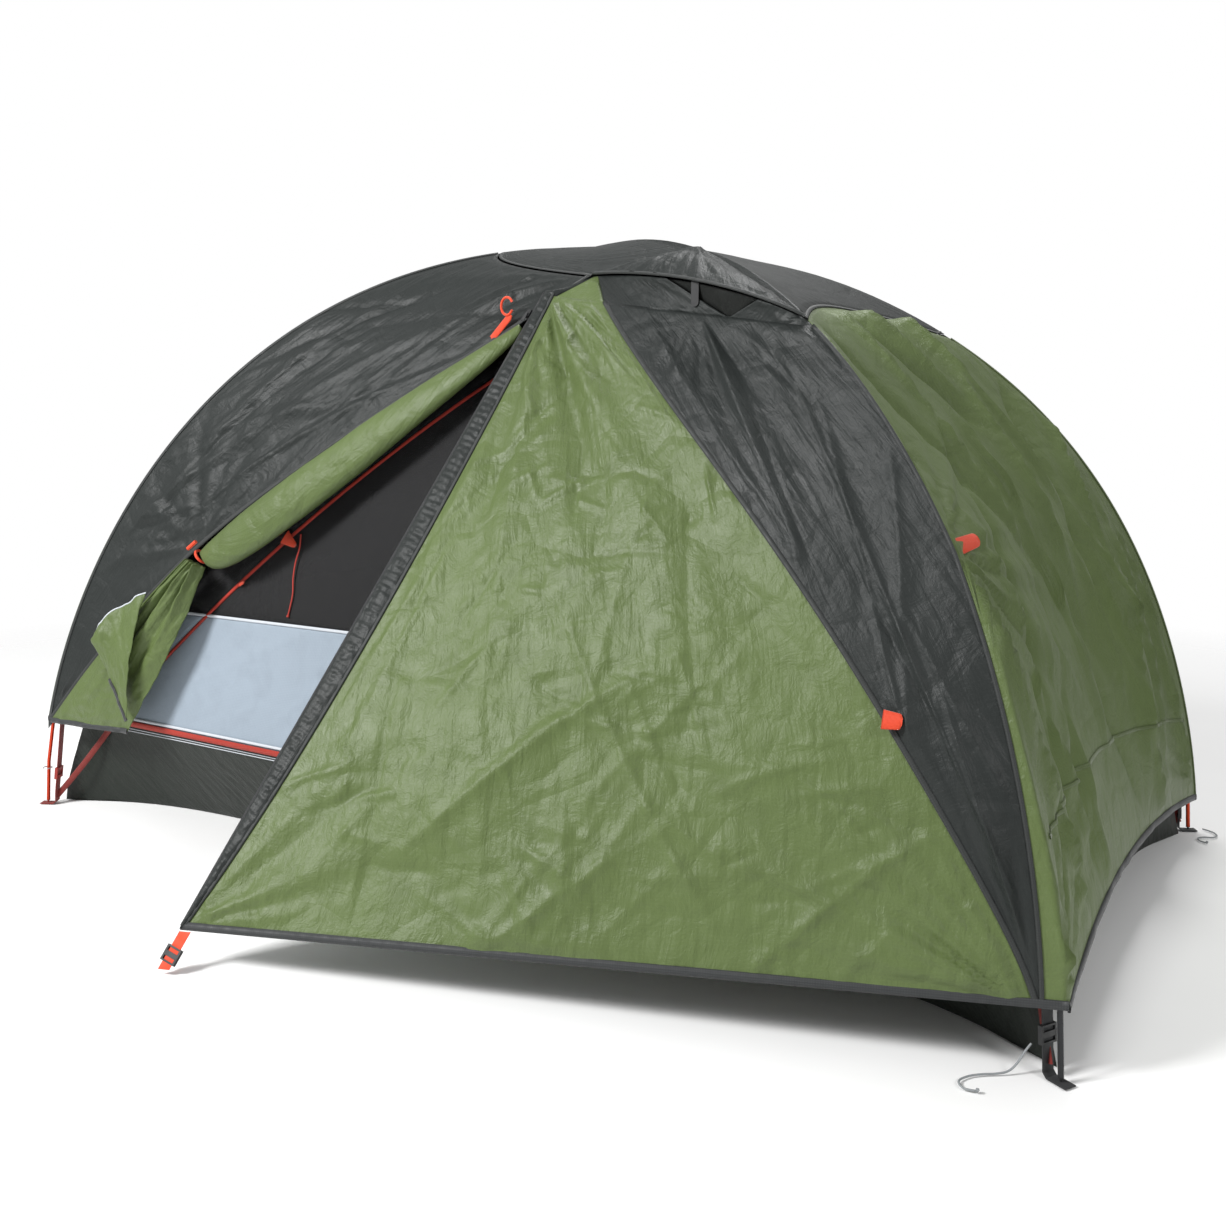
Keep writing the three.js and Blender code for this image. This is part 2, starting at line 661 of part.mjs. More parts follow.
// ---------- the rolled half of the door ----------
const TIE_V = 0.4; // where the door is tied, as a share of the door seam
const ROLL_END_V = 0.8;
const ROLL_HALF_HEIGHT = 50;
const ROLL_HALF_DEPTH = 25;
const ROLL_NECK = 9;
const TIE_CLEAR = 10; // extra room between the seam and the tied end

// Axes of the roll at a place along the seam: its middle, and the directions across and out of it.
function rollFrame(v, away) {
  const seam = (place) => gore(0, ...doorSeamEdge(place));
  const point = seam(v);
  const along = seam(v + 0.01).sub(seam(v - 0.01)).normalize();
  const [q, t] = doorSeamEdge(v);
  const out = outward((i, j) => gore(0, q + i, t + j), 0, 0);
  const across = along.clone().cross(out).normalize();
  if (across.z > 0) across.negate();
  return { middle: point.addScaledVector(across, away), along, across, out };
}

function rollShare(w) {
  return Math.sin(Math.PI * THREE.MathUtils.clamp(w, 0, 1) ** 0.55) ** 0.7;
}

function doorRoll() {
  const sides = 10;
  const rings = [0, 0.03, 0.08, 0.16, 0.3, 0.45, 0.6, 0.75, 0.88, 0.96, 1].map((w) => {
    const half = ROLL_NECK + (ROLL_HALF_HEIGHT - ROLL_NECK) * rollShare(w);
    const depth = ROLL_NECK - 2 + (ROLL_HALF_DEPTH - ROLL_NECK + 2) * rollShare(w);
    const frame = rollFrame(lerp(TIE_V, ROLL_END_V, w), half + 5 + TIE_CLEAR * (1 - w) ** 6);
    return Array.from({ length: sides }, (_, k) => {
      const turn = (k / sides) * 2 * Math.PI;
      return frame.middle.clone()
        .addScaledVector(frame.across, half * Math.cos(turn))
        .addScaledVector(frame.out, depth * Math.sin(turn));
    });
  });
  return loft(rings);
}

// Below the tie the door hangs in folds down to the hem.
const DRAPE_HEM_X = -800;
const DRAPE_TOP = { x: -622, z: 560 };

function doorDrape(u, v) {
  const [leftQ, leftT] = doorSeamEdge(TIE_V * 0.94 * v);
  const z = lerp(HEM.A + 14, DRAPE_TOP.z, v);
  const x = lerp(DRAPE_HEM_X, DRAPE_TOP.x, v) + 45 * Math.sin(Math.PI * v);
  const t = archT(z);
  return gore(0, lerp(leftQ + 0.03, x / (FLY.halfLength * t), u), betweenT(leftT, t, u));
}

const TIE_RADIUS = 15;
const tieFrame = rollFrame(TIE_V, ROLL_NECK + 5 + TIE_CLEAR);

function placeOn(mesh, point, x, y) {
  const z = x.clone().cross(y).normalize();
  mesh.quaternion.setFromRotationMatrix(new THREE.Matrix4().makeBasis(x, y, z));
  mesh.position.copy(point);
}

function addDoor() {
  add('fly_door_roll', doorRoll(), COLOURS.green);
  add('fly_door_drape', panel(doorDrape, 6, 6), COLOURS.green);
  const tie = add('door_tie', new THREE.TorusGeometry(TIE_RADIUS, 3, 6, 14), COLOURS.orange, 0.7);
  placeOn(tie, tieFrame.middle.clone().addScaledVector(tieFrame.along, -4), tieFrame.across, tieFrame.out);
  const barrel = new THREE.CylinderGeometry(4, 4, 26, 8);
  const toggle = add('door_toggle', barrel, COLOURS.orange, 0.5);
  const place = tieFrame.middle.clone()
    .addScaledVector(tieFrame.out, 20)
    .addScaledVector(tieFrame.across, -22);
  placeOn(toggle, place, tieFrame.out, tieFrame.along);
}

// ---------- door zip slider and its pull ----------
const SLIDER = { width: 9, length: 16, depth: 6 };
const SLIDER_V = 0.95; // the slider's place at rest, as a share of the zip
const zipDown = ZIP_FOOT.clone().sub(ZIP_TOP).normalize();
const acrossZip = vestibule(0.5, SLIDER_V).sub(zipPoint(SLIDER_V));
acrossZip.addScaledVector(zipDown, -acrossZip.dot(zipDown)).normalize();
const outOfZip = zipDown.clone().cross(acrossZip).normalize();
if (outOfZip.y > 0) outOfZip.negate();
const PULL_LENGTH = 24;

function addZipSlider() {
  const middle = zipPoint(SLIDER_V).addScaledVector(acrossZip, -8);
  const shape = block(SLIDER.width, SLIDER.depth, SLIDER.length);
  const body = add('fly_zip_slider', shape, COLOURS.black, 0.4, 0.6);
  placeOn(body, middle, acrossZip, outOfZip);
  const pull = add('fly_zip_pull', pullTab(8, PULL_LENGTH), COLOURS.black, 0.5);
  const up = zipDown.clone().negate();
  const facing = up.clone().cross(acrossZip);
  placeOn(pull, middle.clone().addScaledVector(outOfZip, SLIDER.depth / 2 + 2), acrossZip, facing);
}

// ---------- loops for guy lines ----------
function placeTab(name, point, normal, length, width, lift) {
  const up = vector(0, 0, 1).addScaledVector(normal, -normal.z).normalize();
  const side = up.clone().cross(normal).normalize();
  const tab = add(name, block(length, width, 2.4), COLOURS.orange, 0.8);
  placeOn(tab, point.addScaledVector(normal, lift).addScaledVector(side, length / 2 + 2), side, up);
}

function addGuyTabs() {
  const onEnd = (u, v) => gore(1, -0.95 + u, 0.807 + v);
  placeTab('guy_tab_upper', onEnd(0, 0), outward(onEnd, 0, 0), 50, 24, 6);
  const onFront = (u, v) => vestibule(seamU(0.375) + u, 0.375 + v);
  placeTab('guy_tab_lower', onFront(0, 0), outward(onFront, 0, 0), 32, 34, 5);
}

// ---------- inner tent ----------
// A point of the inner tent's wall. round is 0 at corner A, 1 at B, 2 at C and 3 at D.
function innerWall(round, z) {
  const turn = ((round % 4) + 4) % 4;
  const side = Math.floor(turn);
  const q = 2 * (turn - side) - 1;
  const t = archT(Math.max(z, 0), INNER.height);
  const [along, out] = SIDES[side];
  const lengthwise = side % 2 === 0;
  const halfSpan = lengthwise ? INNER.halfLength : INNER.halfWidth;
  const reach = lengthwise ? INNER.halfWidth : INNER.halfLength;
  const pullIn = lengthwise ? FLOOR_PULL_IN : 30;
  const low = Math.max(1 - z / TUB_HEIGHT, 0);
  const high = THREE.MathUtils.clamp(z / TUB_HEIGHT - 1, 0, 1) * Math.min(t * 4, 1);
  const distance = reach * t - pullIn * low * (1 - q ** 6) - INNER_SAG * high * (1 - q * q);
  return vector(
    along[0] * q * halfSpan * t + out[0] * distance,
    along[1] * q * halfSpan * t + out[1] * distance,
    z,
  );
}

// Places round the inner tent, with more of them on the long sides.
const ROUND = [0, 2].flatMap((corner) => [0, 0.08, 0.25, 0.5, 0.75, 0.92, 1, 1.12, 1.5, 1.88]
  .map((place) => corner + place));

function tubRing(z, inset, share = 1) {
  return ROUND.map((round) => {
    const point = innerWall(round, z);
    const shrink = share - inset / Math.hypot(point.x, point.y);
    return vector(point.x * shrink, point.y * shrink, z);
  });
}

// The floor's sheet. Its outline is waisted, so each face is a band round a small core at its middle.
function innerFloor() {
  return loft([
    tubRing(0, 0, FLOOR_CORE),
    tubRing(0, 0),
    tubRing(CLOTH, 0),
    tubRing(CLOTH, 0, FLOOR_CORE),
  ]);
}

// The floor's wall, a ring that stands on the sheet's edge.
function innerTub() {
  const [foot, top] = [CLOTH + 0.6, TUB_HEIGHT - 0.5];
  const middle = (foot + top) / 2;
  return ringWall([
    tubRing(foot, 0),
    tubRing(middle, 0),
    tubRing(top, 0),
    tubRing(top, TUB_WALL),
    tubRing(middle, TUB_WALL),
    tubRing(foot, TUB_WALL),
  ]);
}

// The inner door's edges: straight tapes from the two front corners to the door's peak.
const doorEdgeLeft = new THREE.QuadraticBezierCurve(
  new THREE.Vector2(-930, TUB_HEIGHT),
  new THREE.Vector2(-470, 645),
  new THREE.Vector2(DOOR_PEAK.x - 14, DOOR_PEAK.z),
);
const doorEdgeRight = new THREE.QuadraticBezierCurve(
  new THREE.Vector2(930, TUB_HEIGHT),
  new THREE.Vector2(560, 640),
  new THREE.Vector2(DOOR_PEAK.x + 14, DOOR_PEAK.z),
);

// x of a door edge at a height. Above the door it is the seam that runs on to the tent's peak.
function edgeX(curve, z) {
  if (z >= DOOR_PEAK.z) {
    return (DOOR_PEAK.x * archT(z, INNER.height)) / archT(DOOR_PEAK.z, INNER.height);
  }
  let [low, high] = [0, 1];
  for (let k = 0; k < 40; k += 1) {
    const middle = (low + high) / 2;
    if (curve.getPoint(middle).y < z) low = middle;
    else high = middle;
  }
  return curve.getPoint(low).x;
}

function roundAt(x, z) {
  const halfWidth = Math.max(INNER.halfLength * archT(z, INNER.height), 1e-3);
  return (x / halfWidth + 1) / 2;
}

function innerDoor(u, v) {
  const z = lerp(TUB_HEIGHT + 0.6, DOOR_PEAK.z, v);
  const x = lerp(edgeX(doorEdgeLeft, z) + 1.2, edgeX(doorEdgeRight, z) - 1.2, u);
  return innerWall(roundAt(x, z), z);
}

// The fixed part of the inner tent between two heights, from one door edge round the back to the other.
function innerRound(lowZ, highZ) {
  return (u, v) => {
    const z = lerp(lowZ, highZ, v);
    const from = Math.max(roundAt(edgeX(doorEdgeLeft, z) - 1.2, z), 0.001);
    const to = Math.min(roundAt(edgeX(doorEdgeRight, z) + 1.2, z), 0.999);
    const stops = [from, 0, -0.5, -1, -1.5, -2, -2.5, -3, to - 4];
    const place = Math.min(Math.max(u, 0), 1) * (stops.length - 1);
    const k = Math.min(Math.floor(place), stops.length - 2);
    return innerWall(lerp(stops[k], stops[k + 1], place - k), z);
  };
}

function addInner() {
  add('inner_floor', innerFloor(), COLOURS.floor);
  add('inner_tub', innerTub(), COLOURS.floor);
  add('inner_band', panel(innerRound(TUB_HEIGHT + 0.6, BAND_TOP - 0.5), 16, 1), COLOURS.white);
  add('inner_canopy', closed(panel(innerCanopy, 16, 7)), COLOURS.mesh);
  add('inner_door', panel(innerDoor, 7, 6), COLOURS.mesh);
}

function innerCanopy(u, v) {
  const z = lerp(BAND_TOP + 0.5, INNER.height, THREE.MathUtils.clamp(v, 0, 1) ** 0.75);
  return innerRound(z, z + 1)(u, 0);
}

// ---------- inner door zip ----------
const innerZipStart = 0.055; // share of the front wall, from corner A
const innerZipEnd = 0.945;
const ZIP_TAPE = 9;

function innerZip() {
  const line = stationsBetween(0, 1, 0.125).map((f) => {
    const point = innerWall(lerp(innerZipStart, innerZipEnd, f), TUB_HEIGHT);
    return point.add(vector(0, -2.2, 0));
  });
  return strap(line, vector(0, 0, 1), ZIP_TAPE, 1.2);
}

function arcPoints(x, y, radius, from, to, count) {
  return Array.from({ length: count + 1 }, (_, k) => {
    const turn = lerp(from, to, k / count);
    return new THREE.Vector2(x + radius * Math.cos(turn), y + radius * Math.sin(turn));
  });
}

// A flat pull, hung at its top, with a hole in its round end.
function pullTab(width, length) {
  const low = -length + width / 2;
  const round = arcPoints(0, low, width / 2, 0, -Math.PI, 6);
  const outline = new THREE.Shape([
    ...round,
    new THREE.Vector2(-width * 0.3, 0),
    new THREE.Vector2(width * 0.3, 0),
  ]);
  outline.holes.push(new THREE.Path(arcPoints(0, low, width * 0.22, 0, (2 * Math.PI * 5) / 6, 5)));
  return new THREE.ExtrudeGeometry(outline, { depth: 1.2, bevelEnabled: false }).rotateX(Math.PI / 2);
}

const INNER_SLIDER = { x: -356, width: 12, height: 8, depth: 5 };

function addInnerZip() {
  add('inner_zip', innerZip(), COLOURS.orange, 0.6);
  const wall = innerWall(roundAt(INNER_SLIDER.x, TUB_HEIGHT), TUB_HEIGHT);
  const front = wall.y - 3.4 - INNER_SLIDER.depth / 2;
  const { width, depth, height } = INNER_SLIDER;
  const body = block(width, depth, height, wall.x, front, TUB_HEIGHT);
  add('inner_zip_slider', body, COLOURS.steel, 0.3, 0.9);
  const pull = pullTab(7, 22).translate(wall.x, front - INNER_SLIDER.depth / 2 - 0.4, TUB_HEIGHT + 2);
  add('inner_zip_pull', pull, COLOURS.orange, 0.6);
}

// ---------- free cords ----------
const CORD_SIDES = 8;

// Red cord that hangs down the inner door from its tab.
const DOOR_CORD_X = -420;
const doorCord = [626, 600, 570, 540, 510, 480, 466].map((z, k) => {
  const x = DOOR_CORD_X + 3 * Math.sin(k * 1.9);
  return innerWall(roundAt(x, z), z).add(vector(0, -5, 3));
});
// Tail of corner B's strap cord, from its buckle down to the ground and along it.
const cornerBCord = [
  [1046, -586, 40], [1040, -592, 30], [1033, -599, 15], [1024, -608, 4.5], [1012, -618, 1.9],
  [996, -630, 1.7], [982, -645, 1.7], [975, -664, 1.7], [985, -678, 1.7], [1002, -676, 1.7],
].map((point) => vector(...point));
// Guy line at corner C, from its strap along the ground.
const cornerCCord = [
  [1112, 610, 1.7], [1124, 604, 1.7], [1136, 594, 1.7], [1142, 578, 1.7], [1136, 562, 1.7],
  [1122, 556, 1.7], [1112, 544, 1.7], [1116, 528, 1.7], [1130, 520, 1.7],
].map((point) => vector(...point));

function addCords() {
  add('inner_door_cord', tube(doorCord, 1.5, CORD_SIDES, 20), COLOURS.orange);
  add('corner_cord_b', tube(cornerBCord, 1.5, CORD_SIDES, 24), COLOURS.grey);
  add('corner_cord_c', tube(cornerCCord, 1.5, CORD_SIDES, 24), COLOURS.grey);
}

// ---------- straps, buckles and ring ----------
// A slide buckle on a flat strap. The strap runs along Z through it, its width along X.
function slideBuckle() {
  const [width, depth, length] = [STRAP_WIDTH + 8, 6.4, 26];
  const slot = block(STRAP_WIDTH + 1, STRAP_THICKNESS + 1, length + 2);
  const frontWindow = block(STRAP_WIDTH + 1, depth, length * 0.42, 0, -depth / 2, 0);
  const backWindows = [-1, 1].map((end) => (
    block(STRAP_WIDTH + 1, depth, length * 0.24, 0, depth / 2, end * length * 0.27)));
  return cut(block(width, depth, length), slot, frontWindow, ...backWindows);
}

const corners = {
  a: { pole: 1, end: false, hem: HEM.A, colour: COLOURS.darkRed },
  b: { pole: 2, end: true, hem: HEM.B, colour: COLOURS.black },
  c: { pole: 1, end: true, hem: HEM.C, colour: COLOURS.black },
  d: { pole: 2, end: false, hem: HEM.D, colour: COLOURS.black },
};
const STRAP_OFFSET = 21; // strap's middle, in from the pole's centre line
const STRAP_TURN = 6; // radius of its turn onto the ground

// The strap that ties the fly's corner to the pole's foot and passes under the pole's tip.
function cornerFrame({ pole, end }) {
  const line = poleLines[pole];
  const foot = (end ? line.at(-1) : line[0]).clone();
  const inward = foot.clone().setZ(0).normalize().negate();
  return { foot, inward, sideways: vector(-inward.y, inward.x, 0), line, end };
}

function poleAtHeight({ line, end }, z) {
  const points = end ? [...line].reverse() : line;
  const k = points.findIndex((point) => point.z > z);
  return mix(points[k - 1], points[k], (z - points[k - 1].z) / (points[k].z - points[k - 1].z));
}

function cornerStrap(corner) {
  const frame = cornerFrame(corner);
  const ground = STRAP_THICKNESS / 2;
  const bottom = frame.foot.clone().setZ(ground);
  const top = poleAtHeight(frame, corner.hem - 6).addScaledVector(frame.inward, STRAP_OFFSET);
  const low = poleAtHeight(frame, 30).addScaledVector(frame.inward, STRAP_OFFSET);
  const line = [
    top,
    low,
    bottom.clone().addScaledVector(frame.inward, STRAP_OFFSET).setZ(ground + STRAP_TURN),
    bottom.clone().addScaledVector(frame.inward, STRAP_OFFSET - STRAP_TURN),
    bottom.clone().addScaledVector(frame.inward, -16),
  ];
  return strap(line, frame.sideways);
}

function placeAlong(mesh, point, along, side) {
  const z = along.clone().normalize();
  const x = side.clone().addScaledVector(z, -side.dot(z)).normalize();
  const y = z.clone().cross(x);
  mesh.quaternion.setFromRotationMatrix(new THREE.Matrix4().makeBasis(x, y, z));
  mesh.position.copy(point);
}

const BUCKLE_HEIGHT = 72;
const RING_HEIGHT = 82;

function addCorners() {
  for (const [letter, corner] of Object.entries(corners)) {
    const frame = cornerFrame(corner);
    add(`corner_strap_${letter}`, cornerStrap(corner), corner.colour);
    const top = poleAtHeight(frame, corner.hem - 6).addScaledVector(frame.inward, STRAP_OFFSET);
    const low = poleAtHeight(frame, 30).addScaledVector(frame.inward, STRAP_OFFSET);
    const height = Math.min(BUCKLE_HEIGHT, (corner.hem - 6) / 2 + 8);
    const middle = mix(low, top, (height - low.z) / (top.z - low.z));
    const buckle = add(`corner_buckle_${letter}`, slideBuckle(), corner.colour, 0.5, 0);
    placeAlong(buckle, middle, top.clone().sub(low), frame.sideways);
  }
  const frame = cornerFrame(corners.a);
  const centre = poleAtHeight(frame, RING_HEIGHT).addScaledVector(frame.inward, -3);
  add('corner_ring_a', new THREE.TorusGeometry(9.8, 1.3, 6, 14), COLOURS.steel, 0.3, 0.9)
    .position.copy(centre);
}

// ---------- peg strap at the foot of the zip ----------
const hemDirection = vestibule(0.2, 0).sub(vestibule(0, 0)).normalize();
const PEG_STRAP_LENGTH = 64;

function addPegStrap() {
  const start = ZIP_FOOT.clone().addScaledVector(hemDirection, 12).addScaledVector(zipDown, 4);
  const end = start.clone().addScaledVector(zipDown, PEG_STRAP_LENGTH);
  add('peg_strap', strap([start, mix(start, end, 0.5), end], hemDirection, STRAP_WIDTH), COLOURS.orange);
  const buckle = add('peg_strap_buckle', slideBuckle(), COLOURS.black, 0.5, 0);
  placeAlong(buckle, mix(start, end, 0.62), zipDown, hemDirection);
}

addPoles();
addFly();
addInner();
addInnerZip();
addDoor();
addZipSlider();
addGuyTabs();
add('vent_strut', ventStrut(), COLOURS.black, 0.6).position.copy(strutFoot);
addCords();
addCorners();
addPegStrap();

export default tent;
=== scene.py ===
"""Looks of a dome tent on two crossing poles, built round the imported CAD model. Metres, +Z up."""

import math

import bpy
import numpy as np
from mathutils import Matrix, Vector


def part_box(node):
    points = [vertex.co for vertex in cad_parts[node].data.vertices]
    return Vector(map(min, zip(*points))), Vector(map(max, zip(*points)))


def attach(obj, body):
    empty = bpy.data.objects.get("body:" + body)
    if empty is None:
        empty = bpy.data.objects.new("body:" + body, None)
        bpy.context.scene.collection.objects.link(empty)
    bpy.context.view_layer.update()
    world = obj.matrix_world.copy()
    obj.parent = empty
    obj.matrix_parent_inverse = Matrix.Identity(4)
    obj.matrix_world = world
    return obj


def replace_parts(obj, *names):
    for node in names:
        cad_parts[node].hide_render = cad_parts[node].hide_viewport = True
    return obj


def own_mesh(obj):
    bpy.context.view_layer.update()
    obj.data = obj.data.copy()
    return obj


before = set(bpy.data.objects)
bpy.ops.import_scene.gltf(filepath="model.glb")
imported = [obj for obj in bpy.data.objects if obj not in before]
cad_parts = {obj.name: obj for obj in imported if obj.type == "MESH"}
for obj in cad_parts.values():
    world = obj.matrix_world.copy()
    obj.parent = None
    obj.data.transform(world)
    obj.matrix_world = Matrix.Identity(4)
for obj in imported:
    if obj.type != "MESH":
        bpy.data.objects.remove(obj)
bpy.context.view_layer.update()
TENT = "tent"

# ---------- camera ----------


def add_camera():
    place = Vector((1.3851, -2.2136, 0.8686))
    target = Vector((-0.0901, 0.0, 0.4682))
    roll = math.radians(-0.2523)
    ahead = (target - place).normalized()
    level = ahead.cross(Vector((0, 0, 1))).normalized()
    right = level * math.cos(roll) + level.cross(ahead) * math.sin(roll)
    up = right.cross(ahead)
    data = bpy.data.cameras.new("camera")
    data.lens = 36.616
    data.sensor_width = 36.0
    data.shift_x = 0.0432
    data.shift_y = -0.0111
    camera = bpy.data.objects.new("camera", data)
    camera.matrix_world = Matrix(
        (
            (right.x, up.x, -ahead.x, place.x),
            (right.y, up.y, -ahead.y, place.y),
            (right.z, up.z, -ahead.z, place.z),
            (0, 0, 0, 1),
        )
    )
    bpy.context.scene.collection.objects.link(camera)
    bpy.context.scene.camera = camera


add_camera()

# ---------- the tent's shape, as in the CAD model ----------
HALF_LENGTH, HALF_WIDTH, HEIGHT = 1.1, 0.6, 1.2
INNER_LENGTH, INNER_WIDTH, INNER_HEIGHT = 1.045, 0.54, 1.14
SAG = 0.022
TUB, BAND_TOP = 0.2, 0.45
HEM_A, HEM_B, HEM_C, HEM_D, HEM_RISE = 0.196, 0.105, 0.072, 0.1, 0.042
ZIP_TOP = np.array([0.052, -0.25, 1.098])
ZIP_FOOT = np.array([-0.157, -0.989, 0.062])
FLAP_WIDTH = 0.046
CLOTH_THICKNESS = 0.0009
ROPE_SIDES = 8
BOW = 0.13
# The cross seam low on the right end: the columns and rows of that panel's grid that it runs between.
CROSS_SEAM_COLUMNS = (9, 107)
CROSS_SEAM_ROWS = (88, 93)
VENT_LEFT_T, VENT_LEFT_X, VENT_RIGHT_T, VENT_RIDGE_T = 0.363, 0.127, 0.54, 0.3
CAP_T, CAP_LEFT_T, CAP_GAP = 0.5, 0.148, 0.005
DOOR_PEAK = np.array([0.1, 1.01])
INSIDE = np.array([0.0, 0.0, 0.3])
ALONG = np.array([(1, 0), (0, 1), (-1, 0), (0, -1)], float)
OUT = np.array([(0, -1), (1, 0), (0, 1), (-1, 0)], float)


def mix(a, b, f):
    return a + (b - a) * f


def arch_height(t, height=HEIGHT):
    return height * np.maximum(1 - np.abs(t) ** 2.27, 0) ** (1 / 1.68)


def arch_t(z, height=HEIGHT):
    share = np.clip(np.asarray(z, float) / height, 0, 1)
    return (1 - share**1.68) ** (1 / 2.27)


SHARE_T = np.sin(np.linspace(0, math.pi / 2, 601))
SHARES = np.concatenate(
    [[0], np.cumsum(np.hypot(np.diff(SHARE_T) * 1.02, np.diff(arch_height(SHARE_T))))]
)


def between_t(start, end, f):
    """A place between two places on the arch, measured along it."""
    low, high = np.interp(start, SHARE_T, SHARES), np.interp(end, SHARE_T, SHARES)
    return np.interp(mix(low, high, f), SHARES, SHARE_T)


TOWARDS_C = np.array([HALF_LENGTH, HALF_WIDTH]) / math.hypot(HALF_LENGTH, HALF_WIDTH)


def gore(side, q, t, sag=SAG):
    """The fly between two poles: q from -1 to 1 across the side, t from peak to ground."""
    q, t = np.broadcast_arrays(np.asarray(q, float), np.asarray(t, float))
    half_span, reach = (HALF_LENGTH, HALF_WIDTH) if side % 2 == 0 else (HALF_WIDTH, HALF_LENGTH)
    low, high = np.maximum(t - 0.01, 0), np.minimum(t + 0.01, 1)
    drop = (arch_height(low) - arch_height(high)) / (high - low)
    slope = np.hypot(drop, reach)
    pull = sag * np.sqrt(np.maximum(t, 0)) * np.maximum(1 - q * q, 0)
    out = reach * t - pull * drop / slope
    x = ALONG[side, 0] * q * half_span * t + OUT[side, 0] * out
    y = ALONG[side, 1] * q * half_span * t + OUT[side, 1] * out
    bow = BOW * np.maximum(t, 0) ** 2 * np.maximum(1 - np.maximum(t, 0) ** 3, 0) ** 1.3
    bow = bow * (0, 1 + q, 1 - q, 0)[side] / 2
    x, y = x + bow * TOWARDS_C[0], y + bow * TOWARDS_C[1]
    return np.stack([x, y, arch_height(t) - pull * reach / slope], -1)


def hem_t(left, right, q):
    return arch_t(mix(left, right, (q + 1) / 2) + HEM_RISE * (1 - q * q))


VENT_Q = VENT_LEFT_X / (HALF_LENGTH * VENT_LEFT_T)


def cap_edge_t(side, q):
    dip = 0.045 * (1 - q * q)
    if side == 1:
        return VENT_RIGHT_T - 1.6 * dip
    if side == 3:
        return np.where(q > 0.92, CAP_LEFT_T, CAP_T + 0.03 - dip)
    if side == 2:
        return CAP_T + 0.03 - dip
    left = mix(CAP_LEFT_T, VENT_LEFT_T, (q + 1) / (VENT_Q + 1))
    right = mix(VENT_LEFT_T, VENT_RIDGE_T, (q - VENT_Q) / (1 - VENT_Q))
    return np.where(q > 0.95, VENT_RIGHT_T, np.where(q < VENT_Q, left, right))


def zip_point(v):
    return mix(ZIP_FOOT, ZIP_TOP, np.asarray(v, float)[..., None])


VENT_RIGHT_Z = float(arch_height(VENT_RIGHT_T))


def vestibule(u, v):
    """The ruled cloth between the zip, u 0, and pole 2, u 1: v from hem to vent."""
    u, v = np.broadcast_arrays(np.asarray(u, float), np.asarray(v, float))
    on_pole = gore(0, 1.0, arch_t(mix(HEM_B, VENT_RIGHT_Z, v)))
    return mix(zip_point(v), on_pole, u[..., None])


def vestibule_width(v):
    return np.linalg.norm(vestibule(1.0, v) - vestibule(0.0, v), axis=-1)


def flap_u(v):
    return FLAP_WIDTH * (1 - 0.5 * v**4 - 0.9 * (1 - v) ** 5) / vestibule_width(v)


def seam_u(v):
    return 1 - v * (0.45 + 0.32 * v**3) + 0.18 * v * v * (1 - v) - 0.03 * (1 - v) ** 10


def wrap_u(v):
    return 0.997 - 0.022 * np.maximum(0, 1 - v / 0.62) ** 0.7


def catmull(points, t):
    """Centripetal Catmull-Rom curve through points, at shares t of its number of spans."""
    p = np.asarray(points, float)
    p = np.vstack([2 * p[0] - p[1], p, 2 * p[-1] - p[-2]])
    place = np.clip(np.asarray(t, float), 0, 1) * (len(p) - 3)
    k = np.minimum(place.astype(int), len(p) - 4)
    w = (place - k)[..., None]
    a, b, c, d = p[k], p[k + 1], p[k + 2], p[k + 3]

    def gap(m, n):
        return np.sqrt(np.linalg.norm(n - m, axis=-1, keepdims=True))

    ab, bc, cd = gap(a, b), gap(b, c), gap(c, d)
    out = ((b - a) / ab - (c - a) / (ab + bc) + (c - b) / bc) * bc
    into = ((c - b) / bc - (d - b) / (bc + cd) + (d - c) / cd) * bc
    return (
        b
        + out * w
        + (3 * c - 3 * b - 2 * out - into) * w**2
        + (2 * b - 2 * c + out + into) * w**3
    )


DOOR_SEAM = [
    (-1.066, HEM_A), (-0.909, 0.364), (-0.651, 0.601), (-0.294, 0.845), (0.016, 1.04), (0.118, 1.126),
]


def door_seam(v):
    """q and t of the seam beside the porch's opening, from the hem at corner A to the vent."""
    x, z = np.moveaxis(catmull(DOOR_SEAM, v), -1, 0)
    t = arch_t(z)
    return np.minimum(x / (HALF_LENGTH * t), 0.99), t


def inner_wall(place, z):
    """The inner tent's wall. place is 0 at corner A, 1 at B, 2 at C and 3 at D."""
    place, z = np.broadcast_arrays(np.asarray(place, float), np.asarray(z, float))
    turn = np.mod(place, 4)
    side = np.minimum(turn.astype(int), 3)
    q = 2 * (turn - side) - 1
    t = arch_t(z, INNER_HEIGHT)
    lengthwise = side % 2 == 0
    half_span = np.where(lengthwise, INNER_LENGTH, INNER_WIDTH)
    reach = np.where(lengthwise, INNER_WIDTH, INNER_LENGTH)
    pull_in = np.where(lengthwise, 0.112, 0.03)
    low = np.maximum(1 - z / TUB, 0)
    high = np.clip(z / TUB - 1, 0, 1) * np.minimum(t * 4, 1)
    out = reach * t - pull_in * low * (1 - q**6) - 0.014 * high * (1 - q * q)
    x = ALONG[side, 0] * q * half_span * t + OUT[side, 0] * out
    y = ALONG[side, 1] * q * half_span * t + OUT[side, 1] * out
    return np.stack([x, y, z * np.ones_like(x)], -1)


def bezier(a, b, c, count=200):
    s = np.linspace(0, 1, count)[:, None]
    return np.array(a) * (1 - s) ** 2 + 2 * np.array(b) * s * (1 - s) + np.array(c) * s**2


EDGE_LEFT = bezier((-0.93, TUB), (-0.47, 0.645), (0.086, 1.01))
EDGE_RIGHT = bezier((0.93, TUB), (0.56, 0.64), (0.114, 1.01))


